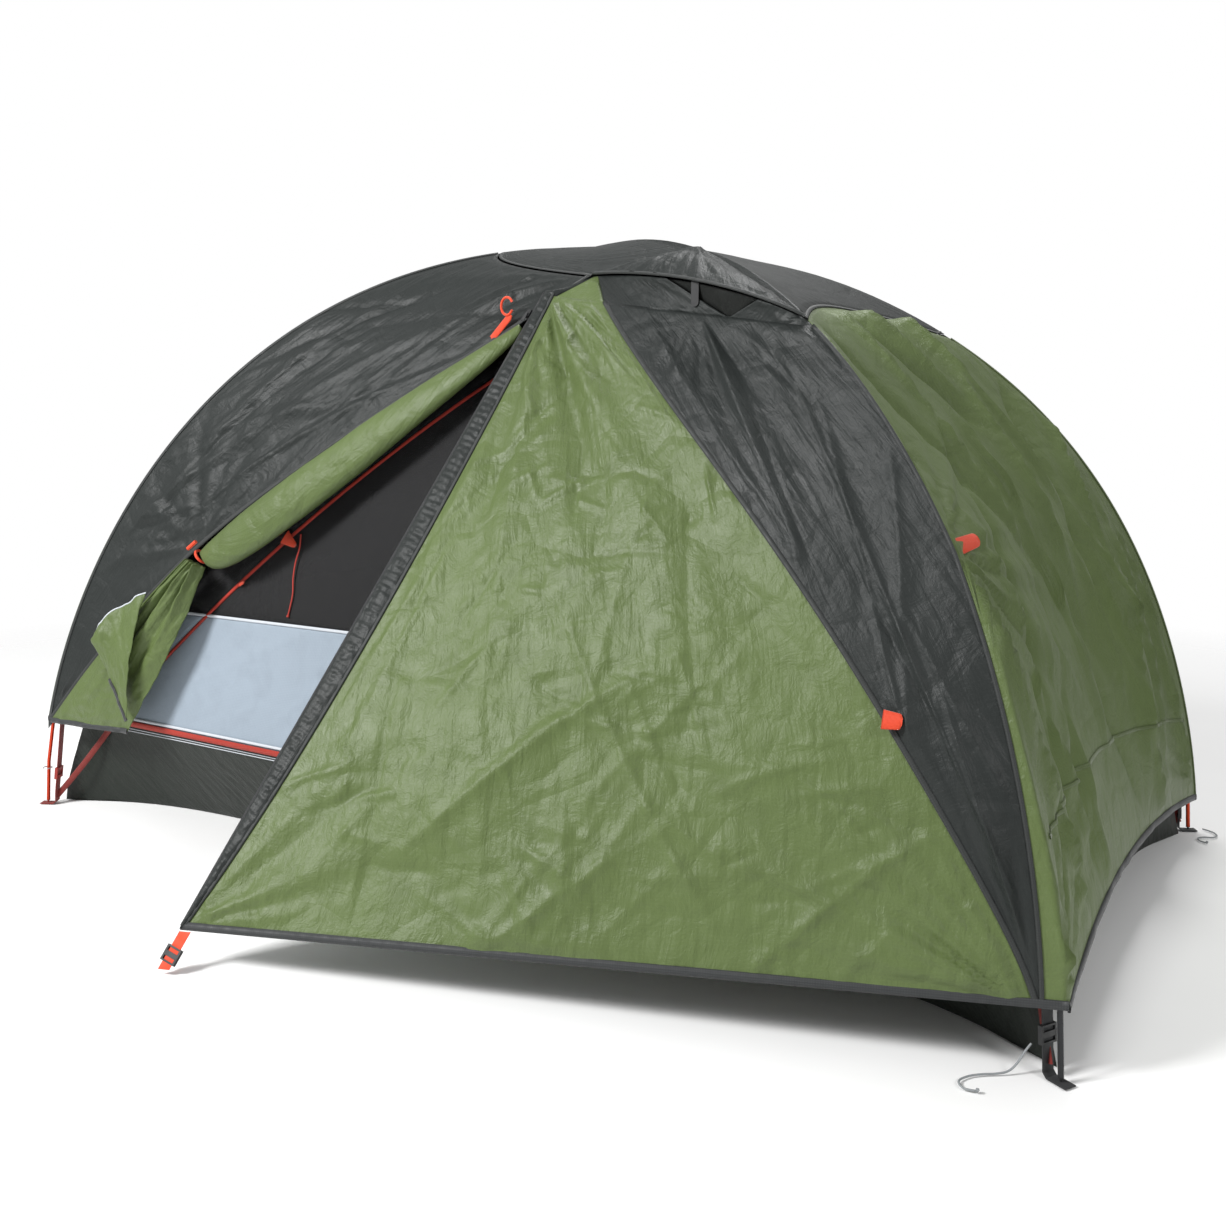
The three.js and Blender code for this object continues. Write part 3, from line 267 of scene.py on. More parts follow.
def edge_x(edge, z):
    top = DOOR_PEAK[0] * arch_t(z, INNER_HEIGHT) / arch_t(DOOR_PEAK[1], INNER_HEIGHT)
    return np.where(z >= DOOR_PEAK[1], top, np.interp(z, edge[:, 1], edge[:, 0]))


def place_at(x, z):
    return (x / np.maximum(INNER_LENGTH * arch_t(z, INNER_HEIGHT), 1e-6) + 1) / 2


# ---------- meshes ----------


def unit(v):
    return v / np.maximum(np.linalg.norm(v, axis=-1, keepdims=True), 1e-12)


def patch(surface, columns, rows):
    """Points of surface(u, v) on a grid, rows first."""
    u, v = np.meshgrid(np.linspace(0, 1, columns + 1), np.linspace(0, 1, rows + 1))
    return surface(u, v)


def normals(points):
    across = np.gradient(points, axis=1)
    down = np.gradient(points, axis=0)
    n = unit(np.cross(across, down))
    return n if np.sum(n * (points - INSIDE)) > 0 else -n


def metric(points):
    """Distance in metres of each grid point along its row, from the row's middle, and down its column."""
    across = np.linalg.norm(np.diff(points, axis=1), axis=2)
    down = np.linalg.norm(np.diff(points, axis=0), axis=2)
    u = np.concatenate([np.zeros((len(points), 1)), np.cumsum(across, 1)], 1)
    v = np.concatenate([np.zeros((1, points.shape[1])), np.cumsum(down, 0)], 0)
    return u - u[:, points.shape[1] // 2 : points.shape[1] // 2 + 1], v


def mesh_object(name, vertices, faces, uv=None):
    mesh = bpy.data.meshes.new(name)
    mesh.from_pydata([tuple(p) for p in vertices], [], faces)
    if uv is not None:
        layer = mesh.uv_layers.new(name="UVMap")
        corners = np.array([uv[i] for face in faces for i in face], np.float32)
        layer.data.foreach_set("uv", corners.ravel())
    mesh.polygons.foreach_set("use_smooth", [True] * len(mesh.polygons))
    mesh.update()
    made = bpy.data.objects.new(name, mesh)
    bpy.context.scene.collection.objects.link(made)
    return made


def grid_faces(rows, columns, ring=False, flip=False):
    faces = []
    across = columns if ring else columns - 1
    for j in range(rows - 1):
        for i in range(across):
            k = (i + 1) % columns
            face = (j * columns + i, j * columns + k, (j + 1) * columns + k, (j + 1) * columns + i)
            faces.append(face[::-1] if flip else face)
    return faces


def grid_object(name, points, material, ring):
    """A cloth sheet on a grid of points, its outside facing away from the tent's middle."""
    rows, columns = points.shape[:2]
    u, v = metric(points)
    uv = np.stack([u, v], -1).reshape(-1, 2)
    across = np.gradient(points, axis=1)
    down = np.gradient(points, axis=0)
    flip = np.sum(np.cross(across, down) * (points - INSIDE)) < 0
    made = mesh_object(name, points.reshape(-1, 3), grid_faces(rows, columns, ring, flip), uv)
    made.data.materials.append(material)
    solidify = made.modifiers.new("thickness", "SOLIDIFY")
    solidify.thickness = CLOTH_THICKNESS
    solidify.offset = -1
    return made


def flat_area(points):
    a, b, c, d = points[:-1, :-1], points[:-1, 1:], points[1:, 1:], points[1:, :-1]
    return float(np.linalg.norm(np.cross(c - a, d - b), axis=-1).sum() / 2)


def sheet(
    name, flat_points, points, material, nodes=(), cut=None, ring=False
):
    """A cloth panel: flat_points is the smooth shape it was cut for, points the one it hangs in.

    cut is the panel's flat width and length, and is measured along the grid when left out."""
    made = grid_object(name, points, material, ring)
    if cut is None:
        u, v = metric(flat_points)
        cut = (float(np.ptp(u, axis=1).max()), float(v.max()))
    whole = np.hstack([flat_points, flat_points[:, :1]]) if ring else flat_points
    area = min(flat_area(whole), cut[0] * cut[1])
    area = max(area, 0.32 * cut[0] * cut[1])
    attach(made, TENT)
    if nodes:
        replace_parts(made, *nodes)
    return made


def tube(name, rings, material, uv=None):
    """A closed mesh through rings of points, with a face over each end."""
    rows, columns = rings.shape[:2]
    faces = grid_faces(rows, columns, ring=True)
    faces += [tuple(range(columns)), tuple((rows - 1) * columns + i for i in reversed(range(columns)))]
    made = mesh_object(name, rings.reshape(-1, 3), faces, uv)
    made.data.materials.append(material)
    outward_faces(made)
    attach(made, TENT)
    return made


def ribbon(name, points, out, width, thickness, material, lift=0.0, crown=0.0):
    """A flat closed strap along points. out is the direction its face looks, one or one per point."""
    points = np.asarray(points, float)
    out = np.broadcast_to(np.asarray(out, float), points.shape)
    along = unit(np.gradient(points, axis=0))
    across = unit(np.cross(along, out))
    face = unit(np.cross(across, along))
    width = np.broadcast_to(np.asarray(width, float), (len(points),))[:, None]
    profile = [(-1, 0), (-0.9, 1), (0, 1 + crown), (0.9, 1), (1, 0), (0.9, -1), (-0.9, -1)]
    rings = [points + across * width / 2 * a + face * (lift + thickness / 2 * b) for a, b in profile]
    length = np.concatenate([[0], np.cumsum(np.linalg.norm(np.diff(points, axis=0), axis=1))])
    side = np.array([a for a, _ in profile]) * float(width.mean()) / 2
    uv = np.stack(np.broadcast_arrays(side, length[:, None]), -1).reshape(-1, 2)
    return tube(name, np.stack(rings, 1), material, uv)


def outward_faces(made):
    """Turns a closed mesh's faces outward."""
    mesh = made.data
    volume = sum(
        mesh.vertices[f.vertices[0]].co.dot(
            mesh.vertices[f.vertices[k]].co.cross(mesh.vertices[f.vertices[k + 1]].co)
        )
        for f in mesh.polygons
        for k in range(1, len(f.vertices) - 1)
    )
    if volume < 0:
        mesh.flip_normals()


def rope(name, points, radius, material):
    """A closed round cord-like mesh along points, for knots and loops that are sewn down."""
    points = np.asarray(points, float)
    along = unit(np.gradient(points, axis=0))
    side = unit(np.cross(along[0], (0.3, 0.5, 0.8)))
    turns = np.arange(ROPE_SIDES) * 2 * math.pi / ROPE_SIDES
    rings = []
    for p, d in zip(points, along):
        side = unit(side - d * float(side @ d))
        other = np.cross(d, side)
        rings.append([p + radius * (math.cos(a) * side + math.sin(a) * other) for a in turns])
    return tube(name, np.array(rings), material)


# ---------- wrinkles ----------


def value_noise(x, y, seed):
    """Smooth noise from -1 to 1 with features about 1 across."""
    table = np.random.RandomState(seed).uniform(-1, 1, (64, 64))
    i, j = np.floor(x).astype(int), np.floor(y).astype(int)
    fx, fy = x - i, y - j
    fx, fy = fx * fx * (3 - 2 * fx), fy * fy * (3 - 2 * fy)
    top = mix(table[i % 64, j % 64], table[(i + 1) % 64, j % 64], fx)
    low = mix(table[i % 64, (j + 1) % 64], table[(i + 1) % 64, (j + 1) % 64], fx)
    return mix(top, low, fy)


def crumple(u, v, seed, size):
    """Crumpled nylon: flat facets that meet in sharp crests, 0 in the troughs and 1 on the crests."""
    rng = np.random.RandomState(seed)
    shift = rng.uniform(0.1, 0.9, (2, 64, 64))
    total = 0
    for k, (scale, turn) in enumerate(((size, 0.5), (size * 0.57, 2.0), (size * 0.3, 1.1))):
        bend_u = u + 0.25 * scale * value_noise(u / scale, v / scale, seed + 3 * k)
        bend_v = v + 0.25 * scale * value_noise(u / scale + 20, v / scale, seed + 3 * k + 1)
        x = (bend_u * math.cos(turn) - bend_v * math.sin(turn)) / scale + 9
        y = (bend_u * math.sin(turn) + bend_v * math.cos(turn)) / (scale * 1.9) + 5
        i, j = np.floor(x).astype(int), np.floor(y).astype(int)
        nearest = np.full(u.shape, 9.0)
        for a in (-1, 0, 1):
            for b in (-1, 0, 1):
                cell = (i + a) % 64, (j + b) % 64
                reach = np.hypot(x - i - a - shift[0][cell], y - j - b - shift[1][cell])
                nearest = np.minimum(nearest, reach)
        total = total + (1, 0.55, 0.3)[k] * np.minimum(nearest, 1.1)
    return total / 1.5


def creases(u, v, seed, count, height, directions=(0.6, 2.2), reach=(0.08, 0.3), width=(0.004, 0.014)):
    """Long straight folds, left by packing or drawn by a pull on the cloth."""
    rng = np.random.RandomState(seed)
    total = np.zeros_like(u)
    for k in range(count):
        u0, v0 = rng.uniform(u.min(), u.max()), rng.uniform(v.min(), v.max())
        turn = directions[k % len(directions)] + rng.uniform(-0.3, 0.3)
        long = rng.uniform(*reach)
        wide = rng.uniform(*width)
        along = (u - u0) * math.cos(turn) + (v - v0) * math.sin(turn)
        off = (v - v0) * math.cos(turn) - (u - u0) * math.sin(turn) + 0.25 * along**2
        sign = 1 if rng.uniform() < 0.6 else -0.8
        size = height * rng.uniform(0.4, 1.0) * sign
        total += size * np.exp(-np.abs(off) / wide) * np.exp(-((along / long) ** 4))
    return total


def tension(points, source, seed, height, reach, count=11):
    """Folds that run out from a point where the cloth is pulled."""
    away = points - np.asarray(source)
    distance = np.linalg.norm(away, axis=-1)
    n = unit(normals(points).mean((0, 1)))
    first = unit(np.cross(n, (0.0, 0.0, 1.0)))
    second = np.cross(n, first)
    angle = np.arctan2(away @ second, away @ first)
    rng = np.random.RandomState(seed)
    wave = sum(
        rng.uniform(0.4, 1) * np.sin(k * angle + rng.uniform(0, 6))
        for k in (count, int(count * 1.7), int(count * 2.6))
    )
    return height * wave * np.exp(-distance / reach) * np.clip(distance / 0.08, 0, 1)


def pinned(points, margin, high=True):
    """1 inside a panel, falling to 0 at the edges where it is sewn. Its high edge may be loose."""
    u, v = metric(points)

    def ease(distance):
        share = np.clip(distance / margin, 0, 1)
        return share * share * (3 - 2 * share)

    total = ease(u - u.min(1, keepdims=True)) * ease(u.max(1, keepdims=True) - u) * ease(v)
    return total * ease(v.max(0, keepdims=True) - v) if high else total


def wrinkled(points, seed, billow=0.004, fold=0.007, lines=14, line=0.005, pulls=(), margin=0.03,
             directions=(0.6, 2.2), reach=(0.08, 0.3), ridges=(), high=True):
    """A panel's points moved out and in by its wrinkles."""
    u, v = metric(points)
    height = billow * value_noise(u / 0.28 + 3, v / 0.28 + 7, seed)
    patches = 0.25 + 0.95 * np.clip(value_noise(u / 0.2 + 31, v / 0.2 + 11, seed + 5) + 0.25, 0, 1)
    height = height + fold * patches * (crumple(u, v, seed + 10, 0.12) - 0.4)
    height = height + creases(u, v, seed + 30, lines, line, directions, reach)
    for k, ridge in enumerate(ridges):
        height = height + creases(u, v, seed + 60 + k, *ridge)
    for k, (source, strength, far) in enumerate(pulls):
        height = height + tension(points, source, seed + 40 + k, strength, far)
    room = pinned(points, margin, high)
    inward = pinned(points, 0.12, high)
    height = np.maximum(height, 0) * room + np.minimum(height, 0) * room * inward
    return points + normals(points) * height[..., None]


def panel(name, surface, columns, rows, material, node, rests, seed, **wrinkles):
    """A wrinkled sheet over surface(u, v), in place of a CAD node, and the points it hangs in."""
    flat = patch(surface, columns, rows)
    made = wrinkled(flat, seed, **wrinkles)
    return sheet(name, flat, made, material, [node]), made


# ---------- materials ----------


class Look:
    """A procedural material, built node by node onto a Principled shader."""

    def __init__(self, name, colour, roughness, metallic=0.0, specular=0.5, sheen=0.0):
        self.material = bpy.data.materials.new(name)
        self.material.use_nodes = True
        self.tree = self.material.node_tree
        self.shader = self.tree.nodes["Principled BSDF"]
        self.shader.inputs["Base Color"].default_value = (*colour, 1)
        self.shader.inputs["Roughness"].default_value = roughness
        self.shader.inputs["Metallic"].default_value = metallic
        self.shader.inputs["Specular IOR Level"].default_value = specular
        self.shader.inputs["Sheen Weight"].default_value = sheen
        self.shader.inputs["Sheen Roughness"].default_value = 0.4
        self.colour = None
        self.plain = colour
        self.bump = None
        self.space = self.tree.nodes.new("ShaderNodeTexCoord")

    def link(self, a, b):
        self.tree.links.new(a, b)

    def node(self, kind, coordinates="Object", **settings):
        made = self.tree.nodes.new(kind)
        for key, value in settings.items():
            if key in made.inputs:
                made.inputs[key].default_value = value
            else:
                setattr(made, key, value)
        if "Vector" in made.inputs and coordinates:
            named = isinstance(coordinates, str)
            self.link(self.space.outputs[coordinates] if named else coordinates, made.inputs["Vector"])
        return made

    def texture(self, kind, coordinates="Object", **settings):
        """A texture's grey value."""
        made = self.node("ShaderNodeTex" + kind, coordinates, **settings)
        return made.outputs["Distance" if kind == "Voronoi" else "Fac"]

    def bricks(self, offset, mortar, smooth, width, height):
        """A grid of threads or stitches: 1 on the lines between its cells."""
        sizes = {
            "Mortar Size": mortar, "Mortar Smooth": smooth, "Brick Width": width, "Row Height": height,
        }
        return self.texture("Brick", "UV", offset=offset, Scale=1.0, **sizes)

    def ramp(self, value, low, high, start=0.0, end=1.0):
        made = self.tree.nodes.new("ShaderNodeMapRange")
        made.inputs["From Min"].default_value = low
        made.inputs["From Max"].default_value = high
        made.inputs["To Min"].default_value = start
        made.inputs["To Max"].default_value = end
        self.link(value, made.inputs["Value"])
        return made.outputs["Result"]

    def blend(self, factor, colour):
        """Mixes colour over what is there by factor."""
        made = self.tree.nodes.new("ShaderNodeMix")
        made.data_type = "RGBA"
        if self.colour is None:
            made.inputs["A"].default_value = (*self.plain, 1)
        else:
            self.link(self.colour, made.inputs["A"])
        made.inputs["B"].default_value = (*colour, 1)
        self.link(factor, made.inputs["Factor"])
        self.colour = made.outputs["Result"]
        self.link(self.colour, self.shader.inputs["Base Color"])
        return self

    def raise_by(self, value, strength, distance):
        made = self.tree.nodes.new("ShaderNodeBump")
        made.inputs["Strength"].default_value = strength
        made.inputs["Distance"].default_value = distance
        self.link(value, made.inputs["Height"])
        if self.bump is not None:
            self.link(self.bump, made.inputs["Normal"])
        self.bump = made.outputs["Normal"]
        self.link(self.bump, self.shader.inputs["Normal"])
        return self

    def roughen(self, value, low, high):
        self.link(self.ramp(value, 0.3, 0.7, low, high), self.shader.inputs["Roughness"])
        return self


def shade(colour, factor):
    return tuple(min(1.0, c * factor) for c in colour)


def ripstop(name, colour, roughness=0.45, cell=0.0055, grid=0.12, sheen=0.03, crinkle=0.5, gloss=0.34,
            folds=0.35):
    """Thin coated nylon: fine weave, a raised grid of thicker threads, soft creases and faint fading."""
    look = Look(name, colour, roughness, sheen=sheen, specular=gloss)
    cloud = look.texture("Noise", Scale=2.2, Detail=4.0, Roughness=0.6)
    look.blend(look.ramp(cloud, 0.35, 0.75), shade(colour, 1.16))
    worn = look.texture("Noise", Scale=17.0, Detail=3.0)
    look.blend(look.ramp(worn, 0.52, 0.8, 0, 0.5), shade(colour, 0.84))
    threads = look.bricks(0.0, 0.0003, 0.4, cell, cell)
    look.blend(look.ramp(threads, 0, 1, 0, grid), shade(colour, 1.7))
    weave = look.texture("Wave", "UV", bands_direction="DIAGONAL", Scale=520.0, Distortion=0.4)
    look.raise_by(weave, 0.12, 0.0002)
    look.raise_by(threads, 0.3, 0.0002)
    small = look.texture("Noise", Scale=21.0, Detail=6.0, Roughness=0.62, Distortion=0.7)
    look.raise_by(small, crinkle, 0.006)
    crest = look.texture("Voronoi", feature="DISTANCE_TO_EDGE", Scale=9.0, Randomness=1.0)
    look.raise_by(look.ramp(crest, 0.0, 0.12), crinkle * 0.5, 0.003)
    turned = look.node("ShaderNodeMapping", "UV", Scale=(36.0, 5.0, 1.0)).outputs["Vector"]
    drawn = look.texture("Noise", turned, Scale=1.0, Detail=5.0, Roughness=0.55, Distortion=0.6)
    look.raise_by(drawn, folds, 0.012)
    look.roughen(cloud, roughness - 0.05, roughness + 0.09)
    return look.material


def netting(name, colour, alpha):
    """Insect mesh: fine threads with holes between them, which let some of what is behind show."""
    look = Look(name, colour, 0.7, specular=0.3)
    holes = look.bricks(0.5, 0.0004, 0.3, 0.0024, 0.0016)
    look.blend(holes, shade(colour, 1.5))
    look.raise_by(holes, 0.4, 0.0004)
    look.link(look.ramp(holes, 0, 1, alpha - 0.08, alpha + 0.12), look.shader.inputs["Alpha"])
    folds = look.texture("Noise", Scale=5.0, Detail=3.0, Distortion=1.2)
    look.raise_by(folds, 0.4, 0.01)
    return look.material


def webbing(name, colour, rib=0.0016, roughness=0.7):
    """Woven tape: ribs across it and slight soiling."""
    look = Look(name, colour, roughness, sheen=0.25)
    ribs = look.texture("Wave", "UV", bands_direction="Y", Scale=0.314 / rib, Distortion=0.3)
    look.blend(look.ramp(ribs, 0.3, 0.9, 0, 0.3), shade(colour, 0.55))
    warp = look.texture("Wave", "UV", bands_direction="X", Scale=0.314 / (rib * 1.3))
    look.raise_by(ribs, 0.5, 0.0006)
    look.raise_by(warp, 0.25, 0.0003)
    grime = look.texture("Noise", Scale=60.0, Detail=3.0)
    look.blend(look.ramp(grime, 0.55, 0.8, 0, 0.35), shade(colour, 0.6))
    look.roughen(grime, roughness - 0.08, roughness + 0.1)
    return look.material


def stitched(name, colour, thread):
    """A sewn seam or binding: cloth tape with a row of short stitches along its middle."""
    look = Look(name, colour, 0.62, sheen=0.2)
    stitch = look.bricks(0.0, 0.0009, 0.2, 0.0032, 0.0035)
    look.blend(look.ramp(stitch, 0, 1, 0.45, 0), thread)
    look.raise_by(stitch, -0.5, 0.0005)
    cloth = look.texture("Noise", Scale=90.0, Detail=4.0)
    look.raise_by(cloth, 0.35, 0.0012)
    look.roughen(cloth, 0.55, 0.72)
    return look.material


def braid(name, colour):
    """Braided cord, with painted shade in the hollows between its strands."""
    look = Look(name, colour, 0.65, sheen=0.2)
    strands_and_hollow_shade = look.texture("Voronoi", Scale=700.0, Randomness=0.35)
    # painted shade: the colour darkens to half in the hollows between the strands, where the bump below
    # sinks them
    look.blend(look.ramp(strands_and_hollow_shade, 0.2, 0.7, 0, 0.6), shade(colour, 0.5))
    look.raise_by(strands_and_hollow_shade, -0.5, 0.0006)
    return look.material


def anodised(name, colour, roughness=0.28):
    """Anodised aluminium tube with faint drawing lines and handling marks."""
    look = Look(name, colour, roughness, metallic=0.75)
    marks = look.texture("Noise", Scale=26.0, Detail=5.0)
    look.blend(look.ramp(marks, 0.5, 0.8, 0, 0.5), shade(colour, 1.35))
    fine = look.texture("Noise", Scale=420.0, Detail=2.0)
    look.raise_by(fine, 0.12, 0.0003)
    look.roughen(marks, roughness - 0.05, roughness + 0.15)
    return look.material


def moulded(name, colour, roughness=0.45):
    """Moulded plastic with a fine grained surface and paler rubbed spots."""
    look = Look(name, colour, roughness)
    grain = look.texture("Noise", Scale=900.0, Detail=3.0)
    look.raise_by(grain, 0.25, 0.0002)
    rubbed = look.texture("Noise", Scale=70.0, Detail=3.0)
    look.blend(look.ramp(rubbed, 0.58, 0.82, 0, 0.6), shade(colour, 1.9))
    look.roughen(rubbed, roughness - 0.06, roughness + 0.14)
    return look.material


def toothed(name, tape, teeth):
    """A coil zip: a woven tape with a raised chain of small teeth along its middle."""
    look = Look(name, tape, 0.55)
    chain = look.texture("Wave", "UV", bands_direction="Y", Scale=0.314 / 0.0018)
    look.blend(look.ramp(chain, 0.35, 0.7, 0, 0.7), teeth)
    look.raise_by(chain, 0.8, 0.001)
    dust = look.texture("Noise", Scale=120.0, Detail=2.0)
    look.roughen(dust, 0.45, 0.62)
    return look.material


GREEN = (0.086, 0.121, 0.038)
CHARCOAL = (0.0185, 0.0215, 0.0205)
green = ripstop("green_ripstop", GREEN, 0.42, crinkle=0.75)
charcoal = ripstop("charcoal_ripstop", CHARCOAL, 0.43, sheen=0.02, crinkle=0.6, gloss=0.24)
white = ripstop(
    "white_ripstop", (0.245, 0.29, 0.34), 0.6, cell=0.004, grid=0.22, crinkle=0.25, folds=0.15,
)
floor_cloth = ripstop("floor_cloth", (0.017, 0.021, 0.017), 0.5, grid=0.05, crinkle=0.5, gloss=0.26)
mesh_black = netting("black_netting", (0.009, 0.009, 0.0095), 0.78)
vent_net = netting("vent_netting", (0.006, 0.007, 0.006), 0.86)
binding = stitched("black_binding", (0.018, 0.02, 0.021), (0.05, 0.053, 0.055))
seam_dark = stitched("charcoal_seam", shade(CHARCOAL, 0.75), shade(CHARCOAL, 1.8))
seam_green = stitched("green_seam", shade(GREEN, 0.8), shade(GREEN, 1.5))
piping = stitched("white_piping", (0.5, 0.53, 0.57), (0.7, 0.72, 0.75))
orange_web = webbing("orange_webbing", (0.72, 0.055, 0.012))
red_web = webbing("red_webbing", (0.19, 0.013, 0.008))
black_web = webbing("black_webbing", (0.016, 0.017, 0.018))
zip_red = toothed("red_zip", (0.36, 0.02, 0.012), (0.6, 0.06, 0.03))
zip_black = toothed("black_zip", (0.02, 0.021, 0.022), (0.06, 0.06, 0.062))
red_cord = braid("red_cord", (0.5, 0.03, 0.015))
grey_cord = braid("grey_cord", (0.3, 0.32, 0.33))
black_cord = braid("black_cord", (0.02, 0.02, 0.02))
orange_pole = anodised("orange_pole", (0.52, 0.05, 0.016))
black_pole = anodised("black_pole", (0.03, 0.031, 0.033))
black_plastic = moulded("black_plastic", (0.009, 0.0095, 0.01))
red_plastic = moulded("red_plastic", (0.28, 0.022, 0.015))
steel = anodised("bright_metal", (0.62, 0.63, 0.65), 0.22)

# ---------- free cords ----------


def line_of(points, count=36):
    return catmull(points, np.linspace(0, 1, count))


def add_cord(name, route, material, node):
    """A free cord along a route, with its knotted end."""
    points = line_of(route)
    curve = bpy.data.curves.new(name, "CURVE")
    curve.dimensions = "3D"
    curve.bevel_depth = 0.0015
    curve.bevel_resolution = 3
    curve.use_fill_caps = True
    spline = curve.splines.new("POLY")
    spline.points.add(len(points) - 1)
    spline.points.foreach_set("co", np.hstack([points, np.ones((len(points), 1))]).ravel())
    made = bpy.data.objects.new(name, curve)
    bpy.context.scene.collection.objects.link(made)
    curve.materials.append(material)
    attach(made, TENT)
    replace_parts(made, node)
    end = points[-1]
    turns = np.linspace(0, 4 * math.pi, 40)
    heading = unit(points[-1] - points[-4])
    side = unit(np.cross(heading, (0.1, 0.2, 1.0)))
    other = np.cross(heading, side)
    spread = 0.0016
    rise = np.array([0, 0, max(0.0031 - float(end[2]), 0)])
    loop = [
        end + rise + heading * (0.0035 * (a / 12.6 - 0.5))
        + spread * (math.cos(a) * side + math.sin(a) * other)
        for a in turns
    ]
    knot = rope(name + "_knot", loop, 0.0013, material)


door_cord = []
for k, z in enumerate((0.626, 0.6, 0.57, 0.54, 0.51, 0.48, 0.466)):
    x = -0.42 + 0.003 * math.sin(k * 1.9)
    door_cord.append(inner_wall(place_at(x, z), z) + (0, -0.005, 0.003))
add_cord("inner_pull_cord", door_cord, red_cord, "inner_door_cord")
corner_b = [
    (1.046, -0.586, 0.04), (1.04, -0.592, 0.03), (1.033, -0.599, 0.015), (1.024, -0.608, 0.0045),
    (1.012, -0.618, 0.0019), (0.996, -0.63, 0.0017), (0.982, -0.645, 0.0017), (0.975, -0.664, 0.0017),
    (0.985, -0.678, 0.0017), (1.002, -0.676, 0.0017),
]
add_cord("strap_tail_b", corner_b, grey_cord, "corner_cord_b")
corner_c = [
    (1.112, 0.61, 0.0017), (1.124, 0.604, 0.0017), (1.136, 0.594, 0.0017), (1.142, 0.578, 0.0017),
    (1.136, 0.562, 0.0017), (1.122, 0.556, 0.0017), (1.112, 0.544, 0.0017), (1.116, 0.528, 0.0017),
    (1.13, 0.52, 0.0017),
]
add_cord("guy_line_c", corner_c, grey_cord, "corner_cord_c")

# ---------- fly panels ----------


def front_left_surface(u, v):
    right_q, right_t = door_seam(v)
    left_t = between_t(arch_t(HEM_A), CAP_LEFT_T + CAP_GAP, v)
    return gore(0, mix(-0.998, right_q - 0.003, u), between_t(left_t, right_t + 0.004, u))


panel(
    "front_left_cloth", front_left_surface, 70, 130, charcoal, "fly_front_left", "pole_1_section_2", 11,
    billow=0.009, fold=0.005, lines=40, line=0.008, directions=(1.0, 1.5), reach=(0.15, 0.45),
    ridges=[(60, 0.003, (0.3, 1.2, 2.3), (0.02, 0.08), (0.003, 0.009))],
    pulls=[
        ((-1.06, -0.57, 0.2), 0.005, 0.25),
        ((-0.65, -0.5, 0.6), 0.006, 0.22),
        ((0.1, -0.2, 1.12), 0.003, 0.2),
    ],
)


def whole_side(side, left, right):
    """A side of the fly from the roof cap to its hem, given the hem's height at its two feet."""

    def surface(u, v):
        q = mix(-0.998, 0.998, u)
        return gore(side, q, between_t(cap_edge_t(side, q) + CAP_GAP, hem_t(left, right, q), v))

    return surface


panel(
    "end_left_cloth", whole_side(3, HEM_D, HEM_A), 90, 90, green, "fly_end_left", "pole_1_section_2", 21,
    lines=16, pulls=[((-1.08, -0.58, 0.2), 0.003, 0.2), ((-1.08, 0.58, 0.12), 0.003, 0.2)],
)
panel(
    "back_cloth", whole_side(2, HEM_C, HEM_D), 150, 80, charcoal, "fly_back", "pole_2_section_2", 31,
    billow=0.006, lines=24, pulls=[((1.06, 0.58, 0.1), 0.003, 0.2), ((-1.06, 0.58, 0.1), 0.003, 0.2)],
)


def end_right_surface(u, v):
    wrap = 0.06
    height = mix(0.985, 0.0, v)
    front = vestibule(mix(wrap_u(height), 1.0, np.clip(u / wrap, 0, 1)), height)
    q = mix(-1.0, 0.998, np.clip((u - wrap) / (1 - wrap), 0, 1))
    top = cap_edge_t(1, q) + CAP_GAP
    side = gore(1, q, between_t(top, hem_t(HEM_B, HEM_C, q), v))
    return np.where((u < wrap)[..., None], front, side)


_, made = panel(
    "end_right_cloth", end_right_surface, 110, 110, green, "fly_end_right", "pole_2_section_6", 41,
    billow=0.012, fold=0.006, lines=26, line=0.006, margin=0.05,
    directions=(1.5, 0.9, 2.1), reach=(0.05, 0.25),
    ridges=[(30, 0.026, (1.5, 1.62, 1.4), (0.15, 0.42), (0.010, 0.028))],
    pulls=[
        ((1.06, -0.57, 0.1), 0.005, 0.3),
        ((0.89, -0.5, 0.68), 0.007, 0.3),
        ((1.07, 0.58, 0.1), 0.004, 0.25),
    ],
)
columns = np.arange(CROSS_SEAM_COLUMNS[0], CROSS_SEAM_COLUMNS[1] + 1)
rows = mix(*CROSS_SEAM_ROWS, (columns - columns[0]) / (columns[-1] - columns[0]))
share = (rows % 1)[:, None]
row = rows.astype(int)
along = mix(made[row, columns], made[row + 1, columns], share)
out = normals(made)[row, columns]
ribbon("end_cross_seam", along + out * 0.0012, out, 0.006, 0.0018, seam_green)


def vestibule_between(left, right, low=0.0, high=0.985):
    def surface(u, v):
        height = mix(low, high, v)
        return vestibule(mix(left(height), right(height), u), height)

    return surface


panel(
    "vestibule_cloth", vestibule_between(flap_u, seam_u), 160, 190, green, "fly_vestibule",
    "pole_2_section_6", 51, billow=0.01, fold=0.012, lines=26, line=0.006,
    directions=(1.3, 1.8, 0.9), reach=(0.15, 0.5),
    ridges=[
        (260, 0.0065, (0.1, 0.7, 1.3, 1.9, 2.5, 3.0), (0.02, 0.09), (0.003, 0.008)),
        (9, 0.014, (0.6, 0.75), (0.15, 0.3), (0.01, 0.02)),
    ],
    pulls=[(ZIP_TOP, 0.012, 0.5), (ZIP_FOOT, 0.006, 0.25), ((1.04, -0.6, 0.1), 0.006, 0.35)],
)
panel(
    "front_right_cloth", vestibule_between(seam_u, wrap_u), 70, 130, charcoal, "fly_front_right",
    "pole_2_section_6", 61, billow=0.009, fold=0.004, lines=22, line=0.007,
    directions=(1.2, 1.6), reach=(0.15, 0.5),
    ridges=[(50, 0.0025, (0.3, 1.2, 2.3), (0.02, 0.08), (0.003, 0.009))],
    pulls=[((0.39, -0.3, 1.04), 0.006, 0.25), ((1.05, -0.6, 0.12), 0.005, 0.3)],
)


